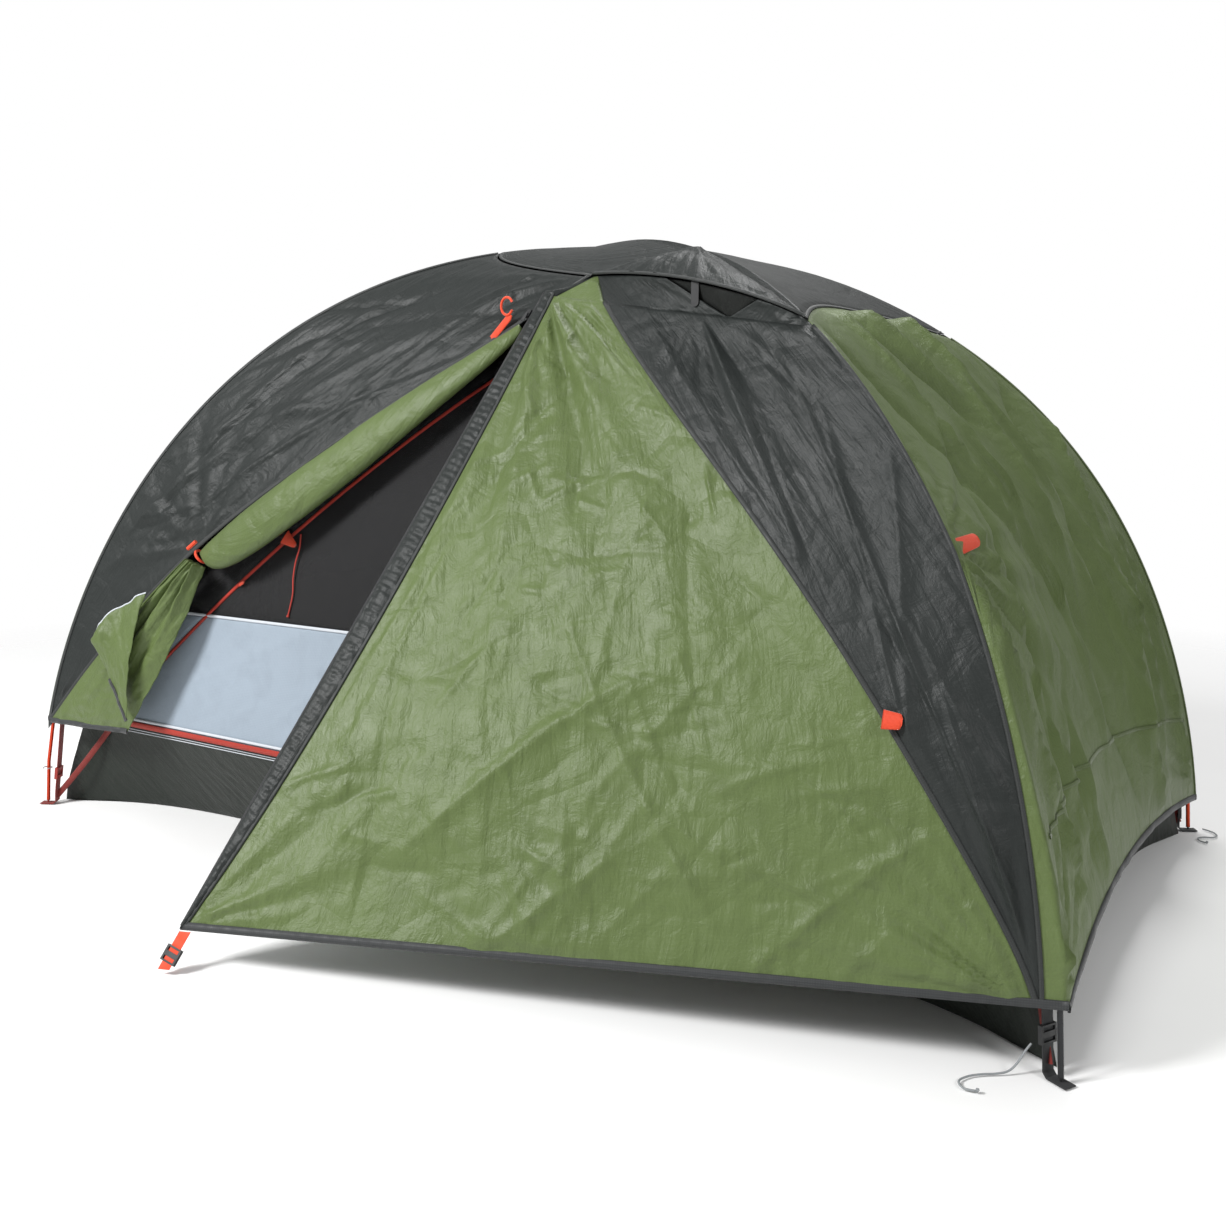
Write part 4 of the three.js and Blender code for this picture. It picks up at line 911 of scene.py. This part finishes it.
def roof_points():
    columns = []
    for side in range(4):
        steps = 34 if side % 2 == 0 else 26
        for k in range(steps):
            q = -1 + 2 * k / steps
            edge = float(cap_edge_t(side, np.array(q))) + 0.004
            columns.append([gore(side, q, max(edge * r, 1e-4)) for r in np.linspace(0.002, 1, 26)])
    return np.array(columns).transpose(1, 0, 2)


flat = roof_points()
height = 0.003 * value_noise(flat[..., 0] / 0.15, flat[..., 1] / 0.12, 71)
height = height + 0.0022 * (crumple(flat[..., 0], flat[..., 1], 72, 0.12) - 0.35)
down = np.linspace(0, 1, len(flat))[:, None]
height = height * np.sin(np.linspace(0, math.pi, len(flat)))[:, None] + 0.0012 * down
made = flat + unit(flat - INSIDE * (1, 1, 2)) * height[..., None]
sheet(
    "roof_cloth", flat, made, charcoal, ["fly_roof_cap"],
    cut=(1.42, 0.72), ring=True,
)

# ---------- storm flap and porch zip ----------


def storm_flap():
    surface = vestibule_between(lambda v: 0 * v, flap_u, 0.0, 0.992)
    flat = patch(surface, 12, 420)
    u, v = metric(flat)
    across = np.linspace(0, 1, 13)[None, :]
    phase = 0.9 * value_noise(v / 0.05, v * 0 + 2, 81) + 2.2 * (across - 0.5)
    swell = np.sin(math.pi * np.clip(across, 0.02, 0.98)) ** 0.6
    ruche = 0.0008 * np.sin(2 * math.pi * v / 0.013 + phase) * swell
    ruche = ruche + 0.0015 * value_noise(u / 0.012, v / 0.009, 82)
    body = 0.0045 * np.sin(math.pi * across) ** 0.5
    made = flat + normals(flat) * (ruche + body)[..., None]
    sheet("storm_flap_cloth", flat, made, charcoal, ["fly_storm_flap"])


storm_flap()


def on_surface(surface, u, v, step=0.003):
    """Points of a surface along a path, and the way it faces there."""
    u, v = np.broadcast_arrays(np.asarray(u, float), np.asarray(v, float))
    across = surface(u + step, v) - surface(u - step, v)
    down = surface(u, v + step) - surface(u, v - step)
    n = unit(np.cross(across, down))
    points = surface(u, v)
    flip = np.where(np.sum(n * (points - INSIDE), -1, keepdims=True) < 0, -1, 1)
    return points, n * flip


def on_side(side, q, t, step=0.003):
    return on_surface(lambda a, b: gore(side, a, b), q, t, step)


places = np.linspace(0.004, 0.99, 140)
points, out = on_surface(vestibule, 0 * places, places)
ribbon("porch_zip_chain", points - out * 0.001, out, 0.0065, 0.0022, zip_black, crown=0.5)
points, out = on_surface(vestibule, flap_u(places), places)
ribbon("flap_seam", points, out, 0.006, 0.003, seam_dark, lift=0.001)

# ---------- seams and bindings ----------
places = np.linspace(0.004, 0.985, 120)
points, out = on_surface(vestibule, seam_u(places), places)
ribbon("porch_seam", points, out, 0.008, 0.0024, seam_dark, lift=0.0008)
points, out = on_surface(vestibule, wrap_u(places), places)
ribbon("wrap_seam", points, out, 0.006, 0.0024, seam_dark, lift=0.0008)
places = np.linspace(0.0, 1.0, 120)
q, t = door_seam(places)
points, out = on_side(0, q, t)
ribbon("door_seam_tape", points, out, 0.009, 0.0024, seam_dark, lift=0.0008)


def ridge_seam(name, side, q, start, end, material):
    t = np.linspace(start, end, 90)
    points, out = on_side(side, q, t)
    ribbon(name, points, out, 0.007, 0.0022, material, lift=0.0008)


ridge_seam("left_ridge_seam", 0, -0.992, 0.16, float(arch_t(HEM_A)), seam_dark)
ridge_seam("back_left_ridge_seam", 3, -0.992, 0.53, float(arch_t(HEM_D)), seam_green)
ridge_seam("back_right_ridge_seam", 1, 0.992, 0.545, float(arch_t(HEM_C)), seam_green)


def cap_seam():
    points, out = [], []
    for side in range(4):
        q = np.linspace(-1, 1, 30)[:-1]
        t = np.array([float(cap_edge_t(side, np.array(x))) for x in q])
        if side == 0:
            q, t = q[q < VENT_Q], t[q < VENT_Q]
            first = (q, t)
            continue
        if side == 3:
            q, t = q[q < 0.9], t[q < 0.9]
        p, n = on_side(side, q, t)
        points.append(p)
        out.append(n)
    ribbon("cap_seam", np.vstack(points), np.vstack(out), 0.006, 0.0014, seam_dark, lift=0.0006)
    p, n = on_side(0, *first)
    ribbon("cap_front_seam", p, n, 0.005, 0.0014, seam_dark, lift=0.0006)


cap_seam()


def hem(name, side, left, right, q_low=-0.998, q_high=0.998):
    q = np.linspace(q_low, q_high, 110)
    points, out = on_side(side, q, hem_t(left, right, q))
    wobble = 0.0012 * value_noise(q * 14, q * 0 + 4, 90 + side)
    ribbon(name, points + out * wobble[:, None], out, 0.013, 0.004, binding, crown=0.4)


hem("right_hem", 1, HEM_B, HEM_C)
hem("back_hem", 2, HEM_C, HEM_D)
hem("left_hem", 3, HEM_D, HEM_A)
places = np.linspace(0.0, 1.0, 120)
points, out = on_surface(vestibule, places, 0.004)
ribbon("porch_hem", points, out, 0.013, 0.004, binding, crown=0.4)

# ---------- vent ----------
vent_left = gore(0, VENT_Q, VENT_LEFT_T)
vent_right = gore(0, 1.0, VENT_RIGHT_T)
vent_ridge = gore(0, 1.0, VENT_RIDGE_T)
strut_foot = gore(0, 0.69, 0.512) + (0, -0.006, 0.006)
vent_brow = strut_foot + (0.004, -0.008, 0.045)


def hood_edge(u):
    u = np.asarray(u, float)[..., None]
    control = 2 * vent_brow - 0.5 * vent_left - 0.5 * vent_right
    return vent_left * (1 - u) ** 2 + control * 2 * u * (1 - u) + vent_right * u**2


def hood_surface(u, v):
    w = u[..., None]
    sewn = np.where(
        w < 0.45, mix(vent_left, vent_ridge, w / 0.45), mix(vent_ridge, vent_right, (w - 0.45) / 0.55)
    )
    lift = (0.004 + 0.012 * np.sin(math.pi * u) * np.sin(math.pi * np.clip(v, 0, 1)))[..., None]
    return mix(sewn, hood_edge(u), mix(-0.02, 1.0, v)[..., None]) + lift * np.array([0, -0.5, 0.85])


hood, _ = panel(
    "hood_cloth", hood_surface, 90, 34, charcoal, "fly_vent_hood", "vent_strut", 101,
    billow=0.003, fold=0.003, line=0.003, margin=0.02, high=False,
    pulls=[(vent_ridge, 0.004, 0.12), (vent_right, 0.003, 0.1)],
)
edge = hood_surface(np.linspace(0, 1, 90), np.ones(90))
brow = ribbon("hood_binding", edge, (0.05, -0.9, 0.4), 0.005, 0.003, seam_dark, crown=0.4)


def flattens_with_the_hood(piece):
    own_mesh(piece)


for piece in (hood, brow):
    flattens_with_the_hood(piece)


SEAM_U = float(seam_u(np.array(0.985)))
STRUT_U = mix(SEAM_U, 1.0, 0.62)
# Borders of the vent's front, left to right: place along the cloth below and along the hood's edge.
VENT_BORDERS = [(0.0, 0.0), (0.05, 0.004), (SEAM_U, 0.02), (STRUT_U, 0.36), (STRUT_U, 0.78), (1.0, 1.0)]


def vent_front(first, second):
    """The front between two borders, from the cloth below, v 0, up to the hood's edge, v 1."""
    (low_a, high_a), (low_b, high_b) = first, second

    def surface(u, v):
        low = vestibule(mix(low_a, low_b, u), 0.982 + 0 * u)
        high = hood_edge(mix(high_a, high_b, u)) + np.array([0, 0.003, -0.002])
        return mix(low, high, v[..., None])

    return surface


def vent_piece(name, surface, columns, rows, material, seed):
    """A small panel of the vent's front, cut to its mean height and greatest width."""
    flat = patch(surface, columns, rows)
    wide = float(np.linalg.norm(np.diff(flat, axis=1), axis=2).sum(1).max())
    tall = flat_area(flat) / (0.6 * wide)
    made = wrinkled(flat, seed, billow=0.001, fold=0.002, lines=4, margin=0.008)
    cloth = sheet(name, flat, made, material, cut=(wide, tall))
    flattens_with_the_hood(cloth)


def netting_surface(u, v):
    return vent_front((STRUT_U - 0.001, 0.36), (STRUT_U + 0.001, 0.78))(u, v) + (0, 0.006, 0)


vent_piece("vent_apex_edge", vent_front(*VENT_BORDERS[:2]), 6, 14, charcoal, 106)
vent_piece("vent_apex", vent_front(*VENT_BORDERS[1:3]), 16, 14, green, 108)
vent_piece("vent_gusset_left", vent_front(*VENT_BORDERS[2:4]), 30, 14, charcoal, 110)
vent_piece("vent_gusset_right", vent_front(*VENT_BORDERS[4:]), 30, 14, charcoal, 112)
vent_piece("vent_netting", netting_surface, 16, 10, vent_net, 114)

# ---------- rolled door ----------
TIE_V, ROLL_END_V = 0.4, 0.8


def roll_frame(v, away):
    def seam(place):
        return gore(0, *door_seam(place))

    q, t = door_seam(v)
    along = unit(seam(v + 0.01) - seam(v - 0.01))
    _, out = on_side(0, q, t, 0.004)
    across = unit(np.cross(along, out))
    across = np.where(across[..., 2:3] > 0, -across, across)
    return seam(v) + across * away[..., None], along, across, out


def roll_share(w):
    return np.sin(math.pi * np.clip(w, 0, 1) ** 0.55) ** 0.7


def door_roll():
    """The rolled half of the door: one sheet wound two and a half turns, thick in the middle."""
    w = np.linspace(0, 1, 150)[:, None]
    turn = np.linspace(0, 2.5, 120)[None, :]
    share = roll_share(w)
    half = 0.009 + 0.041 * share
    depth = 0.007 + 0.018 * share
    middle, _, across, out = roll_frame(
        mix(TIE_V, ROLL_END_V, w[:, 0]), (half + 0.005 + 0.01 * (1 - w) ** 6)[:, 0]
    )
    shrink = 1 - 0.16 * turn
    ripple = 1 + 0.05 * value_noise(turn * 5 + 2, w * 7, 121) * (turn > 0.03)
    ripple = ripple + 0.035 * crumple(turn * 0.2, w * 0.85, 122, 0.07)
    angle = -2 * math.pi * turn + math.pi * 0.92 + 0.25 * np.sin(3 * w)
    a = (half * np.cos(angle) * shrink * ripple)[..., None]
    b = (depth * np.sin(angle) * shrink * ripple)[..., None]
    return middle[:, None] + across[:, None] * a + out[:, None] * b


made = door_roll()
sheet("door_roll_cloth", made, made, green, ["fly_door_roll"])

DRAPE_TOP = (-0.622, 0.56)


def drape_surface(u, v):
    left_q, left_t = door_seam(TIE_V * 0.94 * v)
    z = mix(HEM_A + 0.008, DRAPE_TOP[1], v)
    x = mix(-0.8, DRAPE_TOP[0], v) + 0.018 * np.sin(math.pi * v)
    t = arch_t(z)
    return gore(0, mix(left_q + 0.01, x / (HALF_LENGTH * t), u), between_t(left_t, t, u))


def door_drape():
    flat = patch(drape_surface, 80, 90)
    u, v = np.meshgrid(np.linspace(0, 1, 81), np.linspace(0, 1, 91))
    pleat = 0.011 * np.sin(u * 2 * math.pi * 3.5 + 1.2 + 0.8 * v) * v**1.4
    pleat = pleat + 0.006 * np.sin(u * 2 * math.pi * 6.5) * v**3
    bulge = 0.018 * np.sin(math.pi * u) * np.sin(math.pi * np.clip(v, 0, 1)) ** 0.8
    du, dv = metric(flat)
    folds = 0.01 * (crumple(du, dv, 131, 0.07) - 0.35)
    made = flat + normals(flat) * (0.008 + (pleat + bulge + folds) * np.clip(u * 8, 0, 1))[..., None]
    sheet("door_drape_cloth", flat, made, green, ["fly_door_drape"])
    ribbon("drape_hem", made[0], (0.0, -1.0, 0.1), 0.012, 0.004, binding, crown=0.4)


door_drape()


def door_flap():
    """The corner of the open door, folded back over its own drape, its lining outwards."""
    outline = np.array([(-0.885, 0.4), (-0.842, 0.452), (-0.79, 0.476), (-0.742, 0.496)])
    low = np.array([(-0.882, 0.372), (-0.85, 0.335), (-0.81, 0.285), (-0.775, 0.232)])
    s = np.linspace(0, 1, 50)
    top, under = catmull(outline, s), catmull(low, s)
    u, v = np.meshgrid(s, np.linspace(0, 1, 40))
    x = mix(under[:, 0][None, :], top[:, 0][None, :], v)
    z = mix(under[:, 1][None, :], top[:, 1][None, :], v)
    t = arch_t(z)
    flat = gore(0, x / (HALF_LENGTH * t), t)
    du, dv = metric(flat)
    away = 0.034 + 0.012 * np.sin(math.pi * v) + 0.008 * np.sin(u * 9) * v
    away = away + 0.011 * (crumple(du, dv, 141, 0.06) - 0.3)
    made = flat + normals(flat) * away[..., None]
    sheet("door_flap_cloth", flat, made, green)
    ribbon("flap_top_edge", made[-1], (0, -1, 0.2), 0.003, 0.0015, piping)
    ribbon("flap_low_edge", made[0, 24:], (0, -1, 0.2), 0.008, 0.003, binding, crown=0.4)


door_flap()

# ---------- inner tent ----------


def tub():
    place = np.linspace(0, 4, 200, endpoint=False)
    rows = [inner_wall(place, 0.0) * (r, r, 1) + (0, 0, 0.0006) for r in np.linspace(0.01, 1, 14)]
    rows += [inner_wall(place, z) for z in np.linspace(0.004, TUB - 0.001, 22)]
    flat = np.array(rows)
    _, v = metric(flat)
    height = 0.004 * value_noise(place * 9, v[:, 0][:, None] * 6, 151)
    height = height + 0.004 * (crumple(place * 0.9 + 0 * v, v, 152, 0.09) - 0.35)
    wall = np.clip((flat[..., 2] - 0.004) / 0.03, 0, 1) * np.clip((TUB - flat[..., 2]) / 0.03, 0, 1)
    n = unit(flat * (1, 1, 0) + (1e-6, 0, 0))
    made = flat + n * (np.minimum(height, 0.006) * wall - 0.0012)[..., None]
    for foot in ((-1, -1), (1, -1), (1, 1), (-1, 1)):
        away = np.hypot(flat[..., 0] - foot[0] * INNER_LENGTH, flat[..., 1] - foot[1] * INNER_WIDTH)
        pull = 0.034 * np.exp(-((away / 0.11) ** 2)) * np.clip(1 - flat[..., 2] / TUB, 0, 1)
        made[..., :2] += pull[..., None] * TOWARDS_C * foot
    sheet(
        "tub_cloth", flat, made, floor_cloth, ["inner_floor", "inner_tub"],
        ring=True, cut=(2.5, 1.46),
    )


tub()


def inner_round(low, high, ease=1.0):
    """The fixed inner wall from one door edge round the back to the other, as u, v."""

    def surface(u, v):
        z = mix(low, high, v**ease)
        start = np.clip(place_at(edge_x(EDGE_LEFT, z) - 0.0012, z), 0.001, 0.999)
        end = np.clip(place_at(edge_x(EDGE_RIGHT, z) + 0.0012, z), 0.001, 0.999)
        return inner_wall(mix(start, end - 4, u), z)

    return surface


panel(
    "band_cloth", inner_round(TUB + 0.001, BAND_TOP - 0.001), 260, 18, white, "inner_band", "tub_cloth", 161,
    billow=0.002, fold=0.002, lines=30, line=0.0015, margin=0.02,
)
panel(
    "canopy_netting", inner_round(BAND_TOP, INNER_HEIGHT - 0.0004, 0.75), 200, 50, mesh_black,
    "inner_canopy", "band_cloth", 171, billow=0.003, fold=0.002, lines=10, line=0.001, margin=0.04,
)


def front_door(low, high):
    def surface(u, v):
        z = mix(low, high, v)
        x = mix(edge_x(EDGE_LEFT, z) + 0.001, edge_x(EDGE_RIGHT, z) - 0.001, u)
        return inner_wall(place_at(x, z), z)

    return surface


panel(
    "door_band_cloth", front_door(TUB + 0.004, BAND_TOP), 180, 30, white, "inner_door", "tub_cloth", 181,
    billow=0.003, fold=0.0015, lines=26, line=0.0016, margin=0.02,
)
panel(
    "door_netting", front_door(BAND_TOP, DOOR_PEAK[1] - 0.001), 120, 60, mesh_black, "inner_door",
    "door_band_cloth", 191, billow=0.004, fold=0.003, lines=22, line=0.002, margin=0.02,
)


def along_wall(z, start, end, count=120, out=0.0):
    place = np.linspace(start, end, count)
    points, facing = on_surface(inner_wall, place, z + 0 * place, 0.002)
    return points + facing * out, facing


points, out = along_wall(TUB, 0.055, 0.945, out=0.0022)
zip_tape = ribbon("inner_zip_tape", points, out, 0.013, 0.0024, zip_red, crown=0.5)
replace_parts(zip_tape, "inner_zip")
points, out = along_wall(TUB + 0.0105, 0.05, 0.95, out=0.0015)
ribbon("zip_piping", points, out, 0.006, 0.003, piping, crown=0.5)
for k, drop in enumerate((0.0125, 0.0185)):
    points, out = along_wall(TUB - drop, 0.05, 0.95, out=0.0012)
    ribbon(f"tub_edge_line_{k}", points, out, 0.0018, 0.0014, piping)
points, out = along_wall(BAND_TOP, 0.12, 0.88, out=0.001)
ribbon("band_piping", points, out, 0.006, 0.003, piping, crown=0.5)
points, out = along_wall(BAND_TOP, -3.0, 0.0, 260, out=0.001)
ribbon("band_piping_back", points, out, 0.006, 0.003, piping, crown=0.5)


edge_z = np.linspace(TUB, DOOR_PEAK[1], 90)
for name, edge in (("door_zip_left", EDGE_LEFT), ("door_zip_right", EDGE_RIGHT)):
    points, out = on_surface(inner_wall, place_at(edge_x(edge, edge_z), edge_z), edge_z, 0.002)
    ribbon(name, points, out, 0.007, 0.0024, zip_red, lift=0.0015, crown=0.5)

# ---------- small sewn parts ----------


def tab(name, root, tip, facing, wide, narrow):
    """A short folded webbing tab from root to tip, tapering, with a rounded end."""
    s = np.linspace(0, 1, 14)
    points = mix(np.asarray(root, float), np.asarray(tip, float), s[:, None])
    width = mix(wide, narrow, s) * np.sqrt(np.clip((1.02 - s) / 0.12, 0.05, 1))
    return ribbon(name, points, facing, width, 0.0026, orange_web, crown=0.3)


def guy_tab(name, node, facing, root, tip, wide, narrow):
    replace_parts(tab(name, root, tip, facing, wide, narrow), node)


low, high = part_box("guy_tab_upper")
guy_tab(
    "guy_tab_upper_web", "guy_tab_upper", (0.75, -0.45, 0.45),
    (low.x + 0.002, low.y + 0.003, (low.z + high.z) / 2 - 0.004),
    (high.x, high.y, (low.z + high.z) / 2 + 0.004),
    0.026, 0.021,
)
low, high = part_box("guy_tab_lower")
guy_tab(
    "guy_tab_lower_web", "guy_tab_lower", (0.35, -0.85, 0.4),
    (low.x - 0.002, low.y - 0.004, (low.z + high.z) / 2 + 0.003),
    (mix(low.x, high.x, 0.72), low.y + 0.002, (low.z + high.z) / 2 + 0.001), 0.028, 0.022,
)
spot = inner_wall(place_at(-0.45, 0.618), 0.618)
tab(
    "door_edge_tab", spot + (-0.012, -0.006, 0.004), spot + (0.024, -0.012, -0.012),
    (0, -0.9, 0.4), 0.03, 0.01,
)
spot = inner_wall(place_at(-0.563, 0.523), 0.523)
tab(
    "door_edge_mark", spot + (-0.006, -0.006, -0.003), spot + (0.01, -0.009, 0.004),
    (0, -0.9, 0.4), 0.008, 0.006,
)

for letter, place, foot in (
    ("a", 0.043, (-1.083, -0.59)), ("b", 1.0, (1.083, -0.59)),
    ("c", 2.0, (1.083, 0.59)), ("d", 3.0, (-1.083, 0.59)),
):
    corner = inner_wall(place, TUB - 0.02)
    inward = unit(-np.array([foot[0], foot[1], 0.0]))
    end = np.array([foot[0], foot[1], 0.016]) + inward * 0.016
    points = mix(corner - inward * 0.003, end, np.linspace(0, 1, 12)[:, None])
    points[:, 2] -= 0.004 * np.sin(np.linspace(0, math.pi, 12))
    ribbon(f"floor_strap_{letter}", points, np.cross(inward, (0, 0, 1)), 0.013, 0.0016, red_web)


def roll_loop():
    """Webbing loop that holds the roll's upper end."""
    centre = np.array([-0.004, -0.3, 1.062])
    turns = np.linspace(0.15 * math.pi, 1.85 * math.pi, 40)
    points = np.array([centre + (0.013 * math.cos(a), -0.002, 0.016 * math.sin(a)) for a in turns])
    rope("roll_top_loop", points, 0.0024, orange_web)
    tab("roll_top_tab", (-0.035, -0.312, 1.0), (0.004, -0.3, 1.046), (0, -0.9, 0.4), 0.016, 0.016)


roll_loop()

# ---------- CAD nodes that keep their shape ----------
FINISHES = {
    "pole_tip_a": red_plastic, "inner_zip_slider": steel, "inner_zip_pull": orange_web,
    "fly_zip_slider": black_plastic, "fly_zip_pull": black_web, "vent_strut": black_plastic,
    "corner_strap_a": red_web, "corner_buckle_a": red_plastic, "corner_ring_a": steel,
    "peg_strap": orange_web, "peg_strap_buckle": black_plastic, "door_tie": orange_web,
    "door_toggle": orange_web,
}


def finish_of(name):
    if name in FINISHES:
        return FINISHES[name]
    if "section" in name:
        return orange_pole if name.startswith("pole_1_section") and name[-1] in "17" else black_pole
    if "shock_cord" in name:
        return black_cord
    return black_web if "strap" in name else black_plastic


for name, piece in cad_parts.items():
    if not piece.hide_render:
        piece.data.materials.clear()
        piece.data.materials.append(finish_of(name))

# ---------- floor and light ----------


FILL = 0.42
LIGHTS = [
    ("key", (-1.7, -3.6, 3.2), (0.1, -0.2, 0.5), 1.1, 240),
    ("side", (3.8, -1.8, 2.6), (0.5, 0, 0.5), 1.0, 40),
    ("top", (0.2, 1.2, 4.0), (0, 0, 0.6), 1.2, 70),
]


def studio():
    corners = [(-6, -6, -0.002), (6, -6, -0.002), (6, 6, -0.002), (-6, 6, -0.002)]
    ground = mesh_object("studio_floor", corners, [(0, 1, 2, 3)])
    look = Look("pale_floor", (0.93, 0.93, 0.925), 0.85, specular=0.1)
    speck = look.texture("Noise", Scale=3.0, Detail=2.0)
    look.blend(look.ramp(speck, 0.3, 0.7), (0.95, 0.95, 0.945))
    away = look.node("ShaderNodeVectorMath", None, operation="LENGTH")
    look.link(look.space.outputs["Object"], away.inputs["Vector"])
    look.link(look.ramp(away.outputs["Value"], 1.7, 3.4, 1.0, 0.0), look.shader.inputs["Alpha"])
    ground.data.materials.append(look.material)
    world = bpy.data.worlds.new("studio")
    world.use_nodes = True
    tree = world.node_tree
    rays = tree.nodes.new("ShaderNodeLightPath")
    strength = tree.nodes.new("ShaderNodeMapRange")
    strength.inputs["To Min"].default_value = FILL
    strength.inputs["To Max"].default_value = 1.0
    tree.links.new(rays.outputs["Is Camera Ray"], strength.inputs["Value"])
    tree.nodes["Background"].inputs["Color"].default_value = (1.0, 1.0, 1.0, 1)
    tree.links.new(strength.outputs["Result"], tree.nodes["Background"].inputs["Strength"])
    bpy.context.scene.world = world
    for name, place, aim, size, power in LIGHTS:
        data = bpy.data.lights.new(name, "AREA")
        data.energy = power
        data.size = size
        light = bpy.data.objects.new(name, data)
        light.location = place
        light.rotation_mode = "QUATERNION"
        light.rotation_quaternion = (Vector(aim) - Vector(place)).to_track_quat("-Z", "Y")
        bpy.context.scene.collection.objects.link(light)
    bpy.context.scene.view_settings.view_transform = "Standard"


studio()
